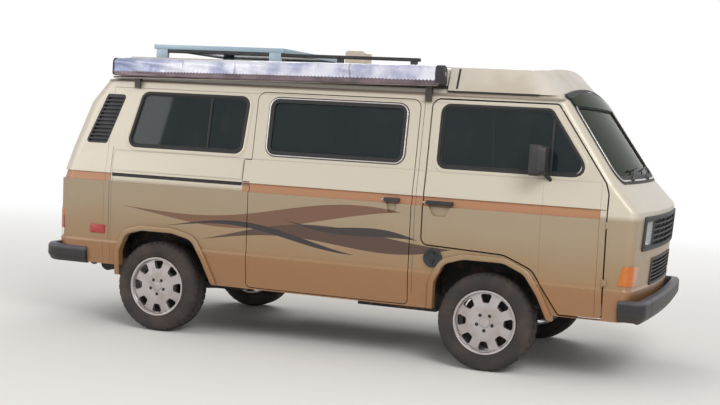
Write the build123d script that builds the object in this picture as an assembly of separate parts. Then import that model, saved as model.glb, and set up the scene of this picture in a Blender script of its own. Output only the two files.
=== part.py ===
from build123d import *
from math import radians, sin, sqrt
import os

# Camper van: +X forward, +Y left, +Z up, millimetres.
# The origin is on the ground, midway between the bumpers' faces.

# Running gear
front_axle_x = 1216
wheelbase = 2461
rear_axle_x = front_axle_x - wheelbase
half_track = 792
tyre_radius = 325
tyre_width = 205
rim_radius = 213
rim_width = 186
rim_wall = 13
disc_thickness = 16
window_count = 8
spindle_radius = 30
running_gap = 0.5
kingpin_y = 648
kingpin_radius = 12

# Body
wall = 45
sill_z = 380
crease_z = 625
shoulder_z = 1062
nose_z = 1120
belt_z = 1288
slope_z = 1640
gutter_z = 1804
rear_low_z = 455
front_low_z = 418
roof_z = 1850
front_corner = 60
rear_corner = 130
front_bow = 6500
rear_bow = 6500
least_corner = 15
fold_height = 16
band_depth = 14
band_low = shoulder_z + 4
band_high = 1128
gutter_reach = 16
gutter_height = 12
arch_lip = 9
arch_band = 34

# Glass
glass_inset = 10
glass_thickness = 5

# Doors and lid
door_gap = 10
slider_gap = 6
tailgate_gap = 9
door_front_x = 1974
door_rear_x = 762
door_low_z = 432
door_high_z = 1775
slider_rear_x = -525
slider_front_x = 674
slider_low_z = 394
slider_high_z = 1766
track_front_x = -590
track_rear_x = -1645
track_z = (1152, 1284)
track_slot_z = (1106, 1131)
track_slot_depth = 32
handle_pocket_depth = 18
hinge_pin_radius = 3.5
tailgate_low_z = 872
tailgate_high_z = 1778

# Floor
floor_z = 430
floor_thickness = 36
cab_floor_z = 560
seat_deck_z = 760
rear_deck_z = 800
front_well = (front_axle_x - 421, front_axle_x + 424)
rear_well = (rear_axle_x - 395, rear_axle_x + 430)
front_well_y = 490
rear_well_y = 600
well_wall = 22

# Roof fittings
lid_rear_x = -1765
lid_low_z = 1856
lid_half = 745
lid_wall = 12
lid_crown = 24
rack_x = (-1620, 560)
rack_y = 500
rack_z = (2062, 2096)
rack_width = 38
panel_x = (-1540, -480)
panel_half = 560
panel_height = 40
panel_frame = 34
vent_x = (-100, 50)
vent_y = (-310, -130)
vent_high_z = 2112
tray_rear_x = 838
tray_high_z = 1996
awning_rear_x = -1730
awning_front_x = 822
awning_y = -834
awning_z = 1892
awning_width = 124
awning_height = 110
awning_tilt = 0.9
rail_z = 1837
rail_height = 14
bracket_x = (-1500, 730)

# Bumpers
bumper_face = 2285
bumper_half = 926
bumper_thickness = 62
bumper_bow = 12000
front_bumper_z = (424, 562)
rear_bumper_z = (446, 570)

def block(x_range, y_range, z_range):
    low = (x_range[0], y_range[0], z_range[0])
    high = (x_range[1], y_range[1], z_range[1])
    middle = [(a + b) / 2 for a, b in zip(low, high)]
    return Pos(*middle) * Box(*[b - a for a, b in zip(low, high)])


def rod(start, end, radius):
    start, end = Vector(*start), Vector(*end)
    plane = Plane(origin=start, z_dir=end - start)
    return extrude(plane * Circle(radius), (end - start).length)


def outline(points, radius):
    return make_face(FilletPolyline(*points, radius=radius, close=True))


def side_prism(face, y_range=(-1400, 1400)):
    """A face drawn in X and Z, through a range of Y."""
    plane = Plane.XZ.offset(-y_range[0])
    return extrude(plane * face, y_range[0] - y_range[1])


def end_prism(face, x_range):
    """A face drawn in Y and Z, through a range of X."""
    return extrude(Plane.YZ.offset(x_range[0]) * face, x_range[1] - x_range[0])


def both_sides(shape):
    return shape + mirror(shape, about=Plane.XZ)


# Body form: level sections joined by straight walls

def plan_section(half, front, rear, front_radius, rear_radius, bow_front, bow_rear):
    """A plan outline with bowed ends and tangent corner arcs."""

    def corner(end, sign, bow, radius):
        centre_y = half - radius
        bow_x = end - sign * bow
        centre_x = bow_x + sign * sqrt((bow - radius) ** 2 - centre_y**2)
        toward = Vector(centre_x - bow_x, centre_y).normalized()
        middle = (toward + Vector(0, 1)).normalized()
        centre = Vector(centre_x, centre_y)
        return centre + toward * radius, centre + middle * radius, centre + Vector(0, radius)

    def flip(point):
        return Vector(point.X, -point.Y)

    tip, bend, side = corner(front, 1, bow_front, front_radius)
    tail, back, flank = corner(rear, -1, bow_rear, rear_radius)
    return make_face(
        [
            ThreePointArc(flip(tip), (front, 0), tip),
            ThreePointArc(tip, bend, side),
            Line(side, flank),
            ThreePointArc(flank, back, tail),
            ThreePointArc(tail, (rear, 0), flip(tail)),
            ThreePointArc(flip(tail), flip(back), flip(flank)),
            Line(flip(flank), flip(side)),
            ThreePointArc(flip(side), flip(bend), flip(tip)),
        ]
    )


# Columns: height, half width, front at the centre line, rear at the centre line
body_sections = [
    (sill_z, 880, 2165, -2085),
    (crease_z - fold_height / 2, 914, 2216, -2166),
    (crease_z + fold_height / 2, 907, 2209, -2159),
    (shoulder_z, 922, 2235, -2160),
    (nose_z, 915, 2235, -2145),
    (belt_z, 885, 2075, -2100),
    (slope_z, 835, 1823, -1975),
    (gutter_z, 812, 1706, -1850),
    (roof_z, 745, 1650, -1780),
]


def body_form(inset):
    """The body's outer form, taken in by a wall's thickness."""
    sections = []
    for height, half, front, rear in body_sections:
        level = height - inset if height == roof_z else height
        section = plan_section(
            half - inset,
            front - inset,
            rear + inset,
            max(front_corner - inset, least_corner),
            rear_corner - inset,
            front_bow,
            rear_bow,
        )
        sections.append(Pos(0, 0, level) * section)
    return loft(sections, ruled=True)


def body_section_at(height):
    """Half width, front and rear of the outer form at a height."""
    for below, above in zip(body_sections, body_sections[1:]):
        if below[0] <= height <= above[0]:
            share = (height - below[0]) / (above[0] - below[0])
            return [a + share * (b - a) for a, b in zip(below[1:], above[1:])]


skin = body_form(0)
inner_form = body_form(wall)
band_zone = block((-2400, door_front_x + door_gap / 2), (-1000, 1000), (band_low, band_high))
band_zone -= block((-2400, slider_rear_x), (-760, 760), (band_low, band_high))
band_groove = (skin - body_form(band_depth)) & band_zone
shell = skin - inner_form - band_groove
raised_ends = block((-2400, -1500), (-1200, 1200), (0, rear_low_z))
raised_ends += block((1660, 2400), (-1200, 1200), (0, front_low_z))
shell -= raised_ends
glass_layer = body_form(glass_inset) - body_form(glass_inset + glass_thickness)

# Openings drawn from the side
door_face = outline(
    [
        (door_rear_x, door_high_z),
        (door_rear_x, 812),
        (front_axle_x + 114, 788),
        (front_axle_x + 304, 706),
        (front_axle_x + 396, 566),
        (front_axle_x + 486, door_low_z),
        (door_front_x, door_low_z),
        (door_front_x, 1225),
        (1952, 1292),
        (1606, door_high_z),
    ],
    [55, 45, 200, 120, 60, 20, 25, 60, 60, 30],
)
slider_face = outline(
    [
        (slider_rear_x, slider_low_z),
        (slider_rear_x, track_z[0] - 12),
        (slider_rear_x - 55, track_z[0] - 12),
        (slider_rear_x - 55, track_z[1] + 6),
        (slider_rear_x, track_z[1] + 6),
        (slider_rear_x, slider_high_z),
        (slider_front_x, slider_high_z),
        (slider_front_x, slider_low_z),
    ],
    [30, 4, 4, 4, 4, 55, 55, 30],
)
door_window_face = outline([(838, 1333), (838, 1735), (1560, 1735), (1845, 1333)], [50, 50, 40, 60])
slider_window_face = outline([(-410, 1349), (-410, 1715), (575, 1715), (575, 1349)], 50)
rear_window_face = outline([(-1532, 1341), (-1443, 1718), (-601, 1718), (-625, 1341)], 50)
louvre_face = outline([(-1898, 1340), (-1753, 1705), (-1591, 1705), (-1716, 1340)], 22)

# Arch outlines: distance forward of the axle, height
front_arch = [(-370, 250), (-355, 560), (-291, 690), (-156, 732), (114, 732), (254, 670), (344, 540), (474, 250)]
rear_arch = [(-317, 250), (-308, 560), (-255, 690), (-125, 727), (125, 727), (285, 690), (365, 560), (505, 250)]
arch_radii = [5, 90, 70, 130, 130, 90, 120, 5]


def arch_outline(points, axle_x):
    return outline([(axle_x + x, z) for x, z in points], arch_radii)


front_arch_face = arch_outline(front_arch, front_axle_x)
rear_arch_face = arch_outline(rear_arch, rear_axle_x)

door_prism = side_prism(door_face)
door_hole = side_prism(offset(door_face, door_gap))
slider_prism = side_prism(slider_face, (-1400, 0))
slider_hole = side_prism(offset(slider_face, slider_gap), (-1400, 0))
arches = side_prism(front_arch_face) + side_prism(rear_arch_face)

# Openings drawn from an end
windscreen_face = outline([(-752, 1322), (752, 1322), (700, 1786), (-700, 1786)], 70)
tailgate_face = outline(
    [
        (-748, tailgate_low_z),
        (748, tailgate_low_z),
        (740, 1288),
        (690, tailgate_high_z),
        (-690, tailgate_high_z),
        (-740, 1288),
    ],
    [50, 50, 300, 60, 60, 300],
)
tail_window_face = outline([(-655, 1345), (655, 1345), (618, 1700), (-618, 1700)], 70)
windscreen_prism = end_prism(windscreen_face, (1500, 2400))
tailgate_prism = end_prism(tailgate_face, (-2400, -1500))
tailgate_hole = end_prism(offset(tailgate_face, tailgate_gap), (-2400, -1500))

# Where the pressed panels meet
rear_seam_x = -1655
front_zone = side_prism(
    make_face(Polyline((1950, 300), (1950, 1292), (1578, gutter_z), (2400, gutter_z), (2400, 300), (1950, 300)))
)
rear_zone = side_prism(
    make_face(
        Polyline(
            (rear_seam_x, 300),
            (rear_seam_x, 1322),
            (-1925, 1322),
            (-1840, 1640),
            (-1735, gutter_z),
            (-2400, gutter_z),
            (-2400, 300),
            (rear_seam_x, 300),
        )
    )
)


def arch_lips():
    """Rolled bands round the four wheel arches, standing off the skin."""
    lips = body_form(-arch_lip) - inner_form
    bands = []
    for face in (front_arch_face, rear_arch_face):
        bands.append(side_prism(offset(face, arch_band) - face))
    zone = block((-2000, 2000), (-1000, 1000), (sill_z, 900))
    return lips & (bands[0] + bands[1]) & zone


filler_x, filler_z, filler_radius = 847, 725, 62
filler_bore = rod((filler_x, -800, filler_z), (filler_x, -1000, filler_z), filler_radius + 2)
lips = arch_lips() - (filler_bore - skin) - raised_ends


def side_panel(sign):
    half_space = block((-2400, 2400), (0, 1200), (0, gutter_z))
    panel = shell & (half_space if sign > 0 else mirror(half_space, about=Plane.XZ))
    panel = panel - front_zone - rear_zone
    panel = panel - door_hole - side_prism(rear_window_face)
    if sign > 0:
        panel -= side_prism(slider_window_face)
    else:
        panel -= slider_hole
    panel = panel - arches - side_prism(louvre_face)
    if sign < 0:
        track = block((track_rear_x, slider_rear_x), (-1000, -800), track_slot_z)
        panel -= track - body_form(track_slot_depth)
    half_lips = lips & (half_space if sign > 0 else mirror(half_space, about=Plane.XZ))
    return panel + half_lips


# Upper grille with lamp bays, lower grille
grille_z = (876, 1082)
grille_half = 742
lamp_inner_y = 508
lamp_outer_y = 712
lamp_margin = 22
lower_grille_z = (628, 800)
lower_grille_half = 420
grille_depth = 32

grille_face = outline(
    [
        (-grille_half, grille_z[0]),
        (grille_half, grille_z[0]),
        (grille_half, grille_z[1]),
        (-grille_half, grille_z[1]),
    ],
    14,
)
lower_grille_face = outline(
    [
        (-lower_grille_half, lower_grille_z[0]),
        (lower_grille_half, lower_grille_z[0]),
        (lower_grille_half, lower_grille_z[1]),
        (-lower_grille_half, lower_grille_z[1]),
    ],
    14,
)
lamp_face = outline(
    [
        (lamp_inner_y, grille_z[0] + lamp_margin),
        (lamp_outer_y, grille_z[0] + lamp_margin),
        (lamp_outer_y, grille_z[1] - lamp_margin),
        (lamp_inner_y, grille_z[1] - lamp_margin),
    ],
    12,
)
nose_range = (2000, 2400)


def slotted(count, y_range, z_range, bar):
    """Level slots between bars, as one cutter."""
    pitch = (z_range[1] - z_range[0] + bar) / count
    cutter = None
    for index in range(count):
        low = z_range[0] + index * pitch
        slot = block(nose_range, y_range, (low, low + pitch - bar))
        cutter = slot if cutter is None else cutter + slot
    return cutter


def front_grilles():
    layer = body_form(-6) - body_form(grille_depth)
    upper = layer & end_prism(grille_face, nose_range)
    slots = slotted(5, (-lamp_inner_y + 26, lamp_inner_y - 26), (grille_z[0] + 20, grille_z[1] - 20), 12)
    upper = upper - (slots - body_form(18))
    lamp_bays = both_sides(end_prism(lamp_face, nose_range))
    upper -= lamp_bays
    lower = layer & end_prism(lower_grille_face, nose_range)
    half = lower_grille_half - 16
    slots = slotted(6, (-half, half), (lower_grille_z[0] + 14, lower_grille_z[1] - 14), 10)
    lower = lower - (slots - body_form(18))
    return upper + lower


def headlamps():
    return (body_form(-3) - body_form(grille_depth)) & both_sides(end_prism(lamp_face, nose_range))


turn_lamp_face = outline([(2068, 652), (2100, 778), (2240, 778), (2240, 652)], 8)
side_marker_face = outline([(-1805, 678), (-1805, 744), (-1682, 744), (-1682, 678)], 6)
tail_lamp_face = outline([(745, 640), (900, 640), (900, 842), (745, 842)], 8)
lamp_depth = 14


def corner_lamps(prism, stand_off=5):
    return (body_form(-stand_off) - body_form(lamp_depth)) & prism


turn_zone = both_sides(side_prism(turn_lamp_face, (780, 1000)))
tail_zone = both_sides(end_prism(tail_lamp_face, (-2400, -2040)))
marker_zone = side_prism(side_marker_face)
turn_lamps = corner_lamps(turn_zone)
rear_lamps = corner_lamps(tail_zone) + corner_lamps(marker_zone)

hinge_y = body_sections[3][1] + 1
hinge_x = door_front_x + door_gap / 2
hinge_heights = [(640, 690), (1005, 1055)]


def hinge_pins():
    """Pins of the left front door, carried by the nose's edge."""
    pins = None
    for low, high in hinge_heights:
        pin = rod((hinge_x, hinge_y, low), (hinge_x, hinge_y, high), hinge_pin_radius)
        edge = door_front_x + door_gap + 8
        leaf = block((hinge_x, edge + 8), (hinge_y - 20, hinge_y + 1), (low + 8, high - 8))
        pin += leaf
        pins = pin if pins is None else pins + pin
    return pins


eye_bore = 22
eye_ring = 16
eye_width = 14
eye_y = -420
eye_front = (2138, front_low_z - eye_bore - 6)
eye_rear = (-2072, rear_bumper_z[0] - eye_bore - 10)
eye_foot = 40


def tow_eye(place, seat_z):
    """A ring with a lug that bolts up under the panel's lower edge."""
    x, z = place
    ring = Pos(x, eye_y, z) * (Rot(90, 0, 0) * Cylinder(eye_bore + eye_ring, eye_width))
    lug = block((x - eye_foot / 2, x + eye_foot / 2), (eye_y - eye_width / 2, eye_y + eye_width / 2), (z, seat_z))
    bore = Pos(x, eye_y, z) * (Rot(90, 0, 0) * Cylinder(eye_bore, 2 * eye_width))
    below = block((x - 200, x + 200), (eye_y - 100, eye_y + 100), (0, seat_z))
    return ((ring + lug) & below) - bore


def front_panel():
    below_gutter = block((1400, 2400), (-1200, 1200), (0, gutter_z))
    panel = (shell & front_zone & below_gutter) - door_hole - windscreen_prism
    panel -= end_prism(grille_face, nose_range)
    panel -= end_prism(lower_grille_face, nose_range)
    panel -= turn_lamps
    return panel + both_sides(hinge_pins())


def rear_panel():
    below_gutter = block((-2400, -1400), (-1200, 1200), (0, gutter_z))
    panel = (shell & rear_zone & below_gutter) - tailgate_hole
    return panel - rear_lamps


def roof_panel():
    panel = shell & block((-2400, 2400), (-1200, 1200), (gutter_z, 2000))
    rails = body_form(-gutter_reach) - inner_form
    rail_zone = block((lid_rear_x, 1640), (-1000, 1000), (gutter_z, gutter_z + gutter_height))
    rail_zone -= block((-2400, 2400), (-700, 700), (gutter_z, gutter_z + gutter_height))
    panel += rails & rail_zone
    opening = outline([(-1560, -560), (-1560, 560), (700, 560), (700, -560)], 60)
    return panel - extrude(Plane.XY.offset(gutter_z - 60) * opening, 200)


# Floor: one folded deck with wheel boxes and seat pedestals
seat_x = (1260, 1660)
seat_y = (230, 610)


def seat_bases():
    return [block(seat_x, seat_y, (seat_deck_z, 848))]


def floor_pan():
    x_low, x_high = -2150, 2150
    top = [
        (x_low, rear_deck_z),
        (rear_well[1] + 40, rear_deck_z),
        (rear_well[1] + 40, floor_z),
        (front_well[0] - 40, floor_z),
        (front_well[0] - 40, seat_deck_z + 6),
        (front_well[1] + 40, seat_deck_z + 6),
        (front_well[1] + 40, cab_floor_z),
        (x_high, cab_floor_z),
    ]
    under = [
        (x_high, cab_floor_z - floor_thickness),
        (front_well[1], cab_floor_z - floor_thickness),
        (front_well[1], seat_deck_z + 6 - floor_thickness),
        (front_well[0], seat_deck_z + 6 - floor_thickness),
        (front_well[0], floor_z - floor_thickness),
        (rear_well[1], floor_z - floor_thickness),
        (rear_well[1], rear_deck_z - floor_thickness),
        (x_low, rear_deck_z - floor_thickness),
    ]
    deck = side_prism(make_face(Polyline(*top, *under, top[0])), (-900, 900))
    wells = [
        block(front_well, (front_well_y - well_wall, front_well_y), (420, seat_deck_z)),
        block(rear_well, (rear_well_y - well_wall, rear_well_y), (480, rear_deck_z - 10)),
        block((rear_well[0] - well_wall, rear_well[0]), (rear_well_y - well_wall, 900), (480, rear_deck_z - 10)),
        block((front_well[1], front_well[1] + well_wall), (front_well_y - well_wall, 900), (420, cab_floor_z)),
    ]
    for piece in wells:
        deck += both_sides(piece)
    for base in seat_bases():
        deck += both_sides(base)
    arm_window = block((front_axle_x - 70, front_axle_x + 70), (front_well_y - 60, front_well_y + 10), (400, 600))
    return (deck - both_sides(arm_window)) & inner_form


# Wheels, built with the axle along +Z and the outer face up
def rim():
    half = rim_width / 2
    lip = rim_radius - rim_wall
    profile = make_face(
        Polyline(
            (spindle_radius + running_gap, 30),
            (spindle_radius + running_gap, 66),
            (0, 66),
            (0, 80),
            (96, 80),
            (lip - 2, 70),
            (lip + 6, half),
            (rim_radius, half),
            (rim_radius, -half),
            (lip, -half),
            (lip, 70 - disc_thickness - 6),
            (58, 30),
            (spindle_radius + running_gap, 30),
        )
    )
    wheel = revolve(Plane.XZ * profile, Axis.Z)
    window = outline([(128, -21), (188, -42), (188, 42), (128, 21)], 15)
    for index in range(window_count):
        wheel -= Rot(0, 0, index * 360 / window_count) * extrude(window, 200)
    return wheel


def tyre():
    half = tyre_width / 2
    seat = rim_radius
    profile = make_face(
        Polyline(
            (seat, -half + 10),
            (tyre_radius - 38, -half),
            (tyre_radius, -half + 32),
            (tyre_radius, half - 32),
            (tyre_radius - 38, half),
            (seat, half - 10),
            (seat, -half + 10),
        )
    )
    return revolve(Plane.XZ * profile, Axis.Z)


wheel_places = {
    "front_left": (front_axle_x, 1),
    "front_right": (front_axle_x, -1),
    "rear_left": (rear_axle_x, 1),
    "rear_right": (rear_axle_x, -1),
}
rim_shape = rim()
tyre_shape = tyre()


def seat_wheel(shape, axle_x, sign):
    turned = Rot(-90 * sign, 0, 0) * shape
    return Pos(axle_x, sign * half_track, tyre_radius) * turned


# Front axle, steering knuckles, rear axle
arm_eye = 27
arm_heights = {"lower": (208, 232), "upper": (516, 540)}


def knuckle():
    """Left knuckle: kingpin, upright and wheel spindle."""
    pin = rod((front_axle_x, kingpin_y, 202), (front_axle_x, kingpin_y, 546), kingpin_radius)
    upright = rod((front_axle_x, kingpin_y, 238), (front_axle_x, kingpin_y, 510), 24)
    hub = rod((front_axle_x, kingpin_y, tyre_radius), (front_axle_x, 790, tyre_radius), 52)
    spindle = rod((front_axle_x, 785, tyre_radius), (front_axle_x, half_track + 62, tyre_radius), spindle_radius)
    return pin + upright + hub + spindle


def front_axle():
    beam = block((front_axle_x - 70, front_axle_x + 70), (-380, 380), (196, 262))
    axle = beam
    for low, high in arm_heights.values():
        eye = rod((front_axle_x, kingpin_y, low), (front_axle_x, kingpin_y, high), arm_eye)
        arm = block((front_axle_x - 24, front_axle_x + 24), (330, kingpin_y - 8), (low, high))
        axle += both_sides(arm + eye)
    for sign in (1, -1):
        bore = rod(
            (front_axle_x, sign * kingpin_y, 190),
            (front_axle_x, sign * kingpin_y, 560),
            kingpin_radius + 1,
        )
        axle -= bore
        tower = rod((front_axle_x, sign * 400, 230), (front_axle_x, sign * 400, seat_deck_z - 30), 52)
        axle += tower
    return axle


def rear_axle():
    hub_y = 690
    axle = None
    for sign in (1, -1):
        arm = rod((rear_well[1] + 20, sign * 420, 348), (rear_axle_x, sign * 640, 330), 38)
        shaft = rod((rear_axle_x, sign * 170, 345), (rear_axle_x, sign * hub_y, tyre_radius), 22)
        hub = rod((rear_axle_x, sign * 610, tyre_radius), (rear_axle_x, sign * 790, tyre_radius), 55)
        spindle = rod(
            (rear_axle_x, sign * 780, tyre_radius),
            (rear_axle_x, sign * (half_track + 62), tyre_radius),
            spindle_radius,
        )
        half = arm + shaft + hub + spindle
        axle = half if axle is None else axle + half
    casing = block((rear_axle_x - 190, rear_axle_x + 330), (-175, 175), (255, 480))
    return axle + casing


engine_block = block((-1900, rear_axle_x - 195), (-330, 330), (300, 740))
underfloor_units = (
    block((150, 740), (-420, 420), (290, floor_z - floor_thickness))
    + Pos(1795, 0, 405) * Cylinder(285, 110)
    + rod((-1975, -380, 395), (-1975, 420, 395), 62)
    + tow_eye(eye_front, front_low_z)
    + tow_eye(eye_rear, rear_low_z)
)

# Bumpers wrap the body's lower corners


def bumper(face_x, z_range, zone):
    outer = plan_section(bumper_half, bumper_face, -bumper_face, 70, 90, bumper_bow, bumper_bow)
    inner = plan_section(
        bumper_half - bumper_thickness,
        bumper_face - bumper_thickness,
        -bumper_face + bumper_thickness,
        30,
        40,
        bumper_bow,
        bumper_bow,
    )
    ring = extrude(Plane.XY.offset(z_range[0]) * (outer - inner), z_range[1] - z_range[0])
    return (ring & block(zone, (-1200, 1200), z_range)) - skin


bumpers = bumper(bumper_face, front_bumper_z, (2078, 2400)) + bumper(
    -bumper_face, rear_bumper_z, (-2400, -1820)
)
bumper_irons = both_sides(block((2150, 2235), (380, 430), (452, 520))) + both_sides(
    block((-2235, -2090), (380, 430), (470, 530))
)
bumpers += bumper_irons - skin

# Glass
fixed_glass_faces = [
    side_prism(rear_window_face),
    side_prism(slider_window_face),
]
side_windows = (glass_layer & fixed_glass_faces[0]) + (glass_layer & fixed_glass_faces[1])
windscreen = glass_layer & windscreen_prism
door_glass = glass_layer & side_prism(door_window_face)
left_space = block((-2400, 2400), (0, 1200), (0, 2000))
right_space = mirror(left_space, about=Plane.XZ)
tailgate_glass = glass_layer & end_prism(tail_window_face, (-2400, -1500))

# Air intakes behind the rear side windows


def intake_louvres():
    blade_count = 12
    low, high = 1352, 1693
    pitch = (high - low) / blade_count
    insert = (body_form(2) - body_form(30)) & side_prism(louvre_face)
    cutter = None
    for index in range(blade_count):
        z = low + index * pitch
        slot_zone = block((-2000, -1500), (-1200, 1200), (z, z + pitch * 0.55))
        cutter = slot_zone if cutter is None else cutter + slot_zone
    inset_face = offset(louvre_face, -12)
    cutter = (cutter & side_prism(inset_face)) - body_form(20)
    return insert - cutter


def fuel_cap():
    half, _, _ = body_section_at(filler_z)
    return rod((filler_x, -half + 6, filler_z), (filler_x, -half - 12, filler_z), filler_radius) - skin


# Doors, each with a scooped pocket behind its handle
handle_z = (1076, 1100)
handle_reach = 16
door_handle_x = (785, 965)
slider_handle_x = (490, 590)


def handle_pocket(x_range):
    """A scoop below the handle, wider at its top."""
    low_z = handle_z[0] - 74
    rear_x, front_x = x_range
    taper = (front_x - rear_x) / 4
    face = outline(
        [
            (rear_x + 8, handle_z[0] + 4),
            (front_x - 8, handle_z[0] + 4),
            (front_x - taper, low_z),
            (rear_x + taper, low_z),
        ],
        [6, 6, taper / 2, taper / 2],
    )
    return side_prism(face) - body_form(handle_pocket_depth)


def door_handle(x_range):
    """Left handle bar, standing in the recessed band."""
    half, _, _ = body_section_at(handle_z[0])
    return block(x_range, (half - 24, half + handle_reach), handle_z) - body_form(band_depth)


doors = (shell & door_prism) - side_prism(door_window_face) - handle_pocket(door_handle_x)
door_left = (doors & left_space) + door_handle(door_handle_x)
door_right = mirror(door_left, about=Plane.XZ)


def door_mirror():
    back = outline([(898, 1316), (1070, 1316), (1070, 1514), (898, 1514)], 24)
    front = outline([(916, 1334), (1052, 1334), (1052, 1496), (916, 1496)], 24)
    sections = [Plane.YZ.offset(1492) * back, Plane.YZ.offset(1545) * back, Plane.YZ.offset(1590) * front]
    housing = loft(sections, ruled=True)
    arm = rod((1598, 878, 1290), (1552, 945, 1345), 13)
    return (housing + arm) - skin


mirror_left = door_mirror()

sliding_door = (shell & slider_prism) - side_prism(slider_window_face) - handle_pocket(slider_handle_x)
sliding_door += mirror(door_handle(slider_handle_x), about=Plane.XZ)
track_cover_face = outline(
    [(track_rear_x, track_z[0]), (track_rear_x, track_z[1]), (track_front_x, track_z[1]), (track_front_x, track_z[0])],
    6,
)
track_cover = (body_form(-8) - skin) & side_prism(track_cover_face, (-1400, 0))

tailgate = (shell & tailgate_prism) - end_prism(tail_window_face, (-2400, -1500))

# Pop-up roof lid with its folded bellows


def lid_section(x, half_low, half_high, high, inset):
    face = outline(
        [
            (-half_low + inset, lid_low_z),
            (-half_high + inset, high - inset),
            (0, high - inset + lid_crown),
            (half_high - inset, high - inset),
            (half_low - inset, lid_low_z),
        ],
        [1, 50, 7000, 50, 1],
    )
    return Plane.YZ.offset(x) * face


# Columns: distance from the lid's rear edge, half width of the top, height of the top
lid_sections = [(0, 650, 1930), (100, 685, 1992), (2440, 690, 2000), (2590, 675, 1986)]


def lid_form(inset):
    sections = []
    for place, half_high, high in lid_sections:
        x = lid_rear_x + place
        if place == 0:
            x += inset
        elif place == lid_sections[-1][0]:
            x -= inset
        sections.append(lid_section(x, lid_half, half_high, high, inset))
    return loft(sections, ruled=True)


lid_skin = lid_form(0)
vent = block(vent_x, vent_y, (lid_low_z + 100, vent_high_z))
vent = fillet(vent.edges().filter_by(Axis.Z), 18)
vent = chamfer(vent.faces().sort_by(Axis.Z)[-1].edges(), 14)
pop_top = lid_skin - lid_form(lid_wall) + (vent - lid_skin)
bellows_face = outline([(-1690, -690), (-1690, 690), (750, 690), (750, -690)], 60)
bellows = extrude(Plane.XY.offset(roof_z) * (bellows_face - offset(bellows_face, -16)), 42)


def solar_panels():
    """A framed panel lying on the two rails of the roof rack."""
    panel_z = (rack_z[1], rack_z[1] + panel_height)
    panel = block(panel_x, (-panel_half, panel_half), panel_z)
    inside = block(
        (panel_x[0] + panel_frame, panel_x[1] - panel_frame),
        (-panel_half + panel_frame, panel_half - panel_frame),
        (panel_z[0], panel_z[1] - 8),
    )
    rack = panel - inside
    for sign in (-1, 1):
        y_range = (sign * rack_y - rack_width / 2, sign * rack_y + rack_width / 2)
        rack += block(rack_x, y_range, rack_z)
        for x in (rack_x[0] + 90, panel_x[1] + 80, rack_x[1] - 90):
            rack += block((x, x + 50), y_range, (lid_low_z + 100, rack_z[1])) - lid_skin
    return rack


def luggage_tray():
    low = plan_section(792, 1704, tray_rear_x, 120, 10, 3200, 90000)
    high = plan_section(722, 1548, tray_rear_x, 120, 10, 3200, 90000)
    outer = loft([Pos(0, 0, roof_z - 14) * low, Pos(0, 0, tray_high_z) * high], ruled=True)
    low = plan_section(680, 1500, tray_rear_x + 60, 80, 20, 3200, 90000)
    high = plan_section(692, 1512, tray_rear_x + 50, 90, 20, 3200, 90000)
    inner = loft([Pos(0, 0, roof_z + 45) * low, Pos(0, 0, tray_high_z + 1) * high], ruled=True)
    return outer - inner - skin - roof_shape


def awning_bag():
    length = awning_front_x - awning_rear_x
    half, high = awning_width / 2, awning_height / 2
    profile = outline([(-half, -high), (-half, high), (half, high), (half, -high)], [20, 40, 40, 20])
    bag = extrude(Plane.YZ * profile, length)
    return Pos(awning_rear_x, awning_y, awning_z) * (Rot(0, -awning_tilt, 0) * bag)


def awning_rail():
    length = awning_front_x - awning_rear_x - 60
    rail = block((0, length), (-20, 20), (-rail_height, 0))
    rail = Pos(awning_rear_x + 30, awning_y, rail_z) * (Rot(0, -awning_tilt, 0) * rail)
    for x in bracket_x:
        top = rail_z - 7 + (x - awning_rear_x) * sin(radians(awning_tilt))
        rail += block((x - 22, x + 22), (awning_y - 12, awning_y + 8), (gutter_z - 46, top))
        rail += block((x - 22, x + 22), (awning_y - 12, awning_y + 22), (gutter_z + gutter_height, top))
    return rail - roof_shape - skin


roof_shape = roof_panel()

# Cab and living space


def cab_seat():
    """Left cab seat: cushion and back in one soft profile."""
    profile = outline(
        [
            (1230, 850),
            (1720, 870),
            (1730, 990),
            (1360, 970),
            (1250, 1500),
            (1160, 1490),
            (1190, 960),
        ],
        [40, 40, 50, 60, 40, 40, 60],
    )
    seat = side_prism(profile, (180, 660))
    return seat + block((1165, 1215), (310, 530), (1470, 1640))


dash_face = outline(
    [(2140, 700), (1990, 760), (1880, 900), (1850, 1110), (1900, 1190), (2030, 1200), (2150, 1140)], 30
)
dashboard = side_prism(dash_face, (-820, 820)) & body_form(wall + 6)


def steering_rim():
    section = Pos(190, 0) * RegularPolygon(14, 6)
    return revolve(Plane.XZ * section, Axis.Z)


def steering_wheel():
    centre = (1745, 420, 1120)
    tilt = 62
    wheel = Pos(*centre) * (Rot(0, -(90 - tilt), 0) * (steering_rim() + Cylinder(40, 30)))
    for angle in (0, 120, 240):
        spoke = Rot(0, 0, angle) * Pos(105, 0, 0) * Box(160, 26, 10)
        wheel += Pos(*centre) * (Rot(0, -(90 - tilt), 0) * spoke)
    column = rod(centre, (1745 + 130, 420, 1120 - 240), 22)
    return wheel + column - dashboard


bench_points = [
    (-240, 700),
    (-240, 850),
    (-690, 835),
    (-800, 1300),
    (-900, 1280),
    (-800, 814),
    (-752, 806),
    (-752, 700),
]
bench = side_prism(outline(bench_points, [40, 40, 60, 40, 40, 8, 8, 20]), (-780, 260))
mattress = block((-1980, -930), (-740, 260), (rear_deck_z + 2, rear_deck_z + 100))
bench_cushions = bench + mattress
cabinets = (
    block((-260, 700), (300, 800), (floor_z, 1290))
    + block((-1900, -300), (420, 800), (rear_deck_z + 6, 1270)) & body_form(wall + 8)
)
bench_box = block((-770, -250), (-740, 240), (floor_z, 695))
cabinets += bench_box

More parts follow.
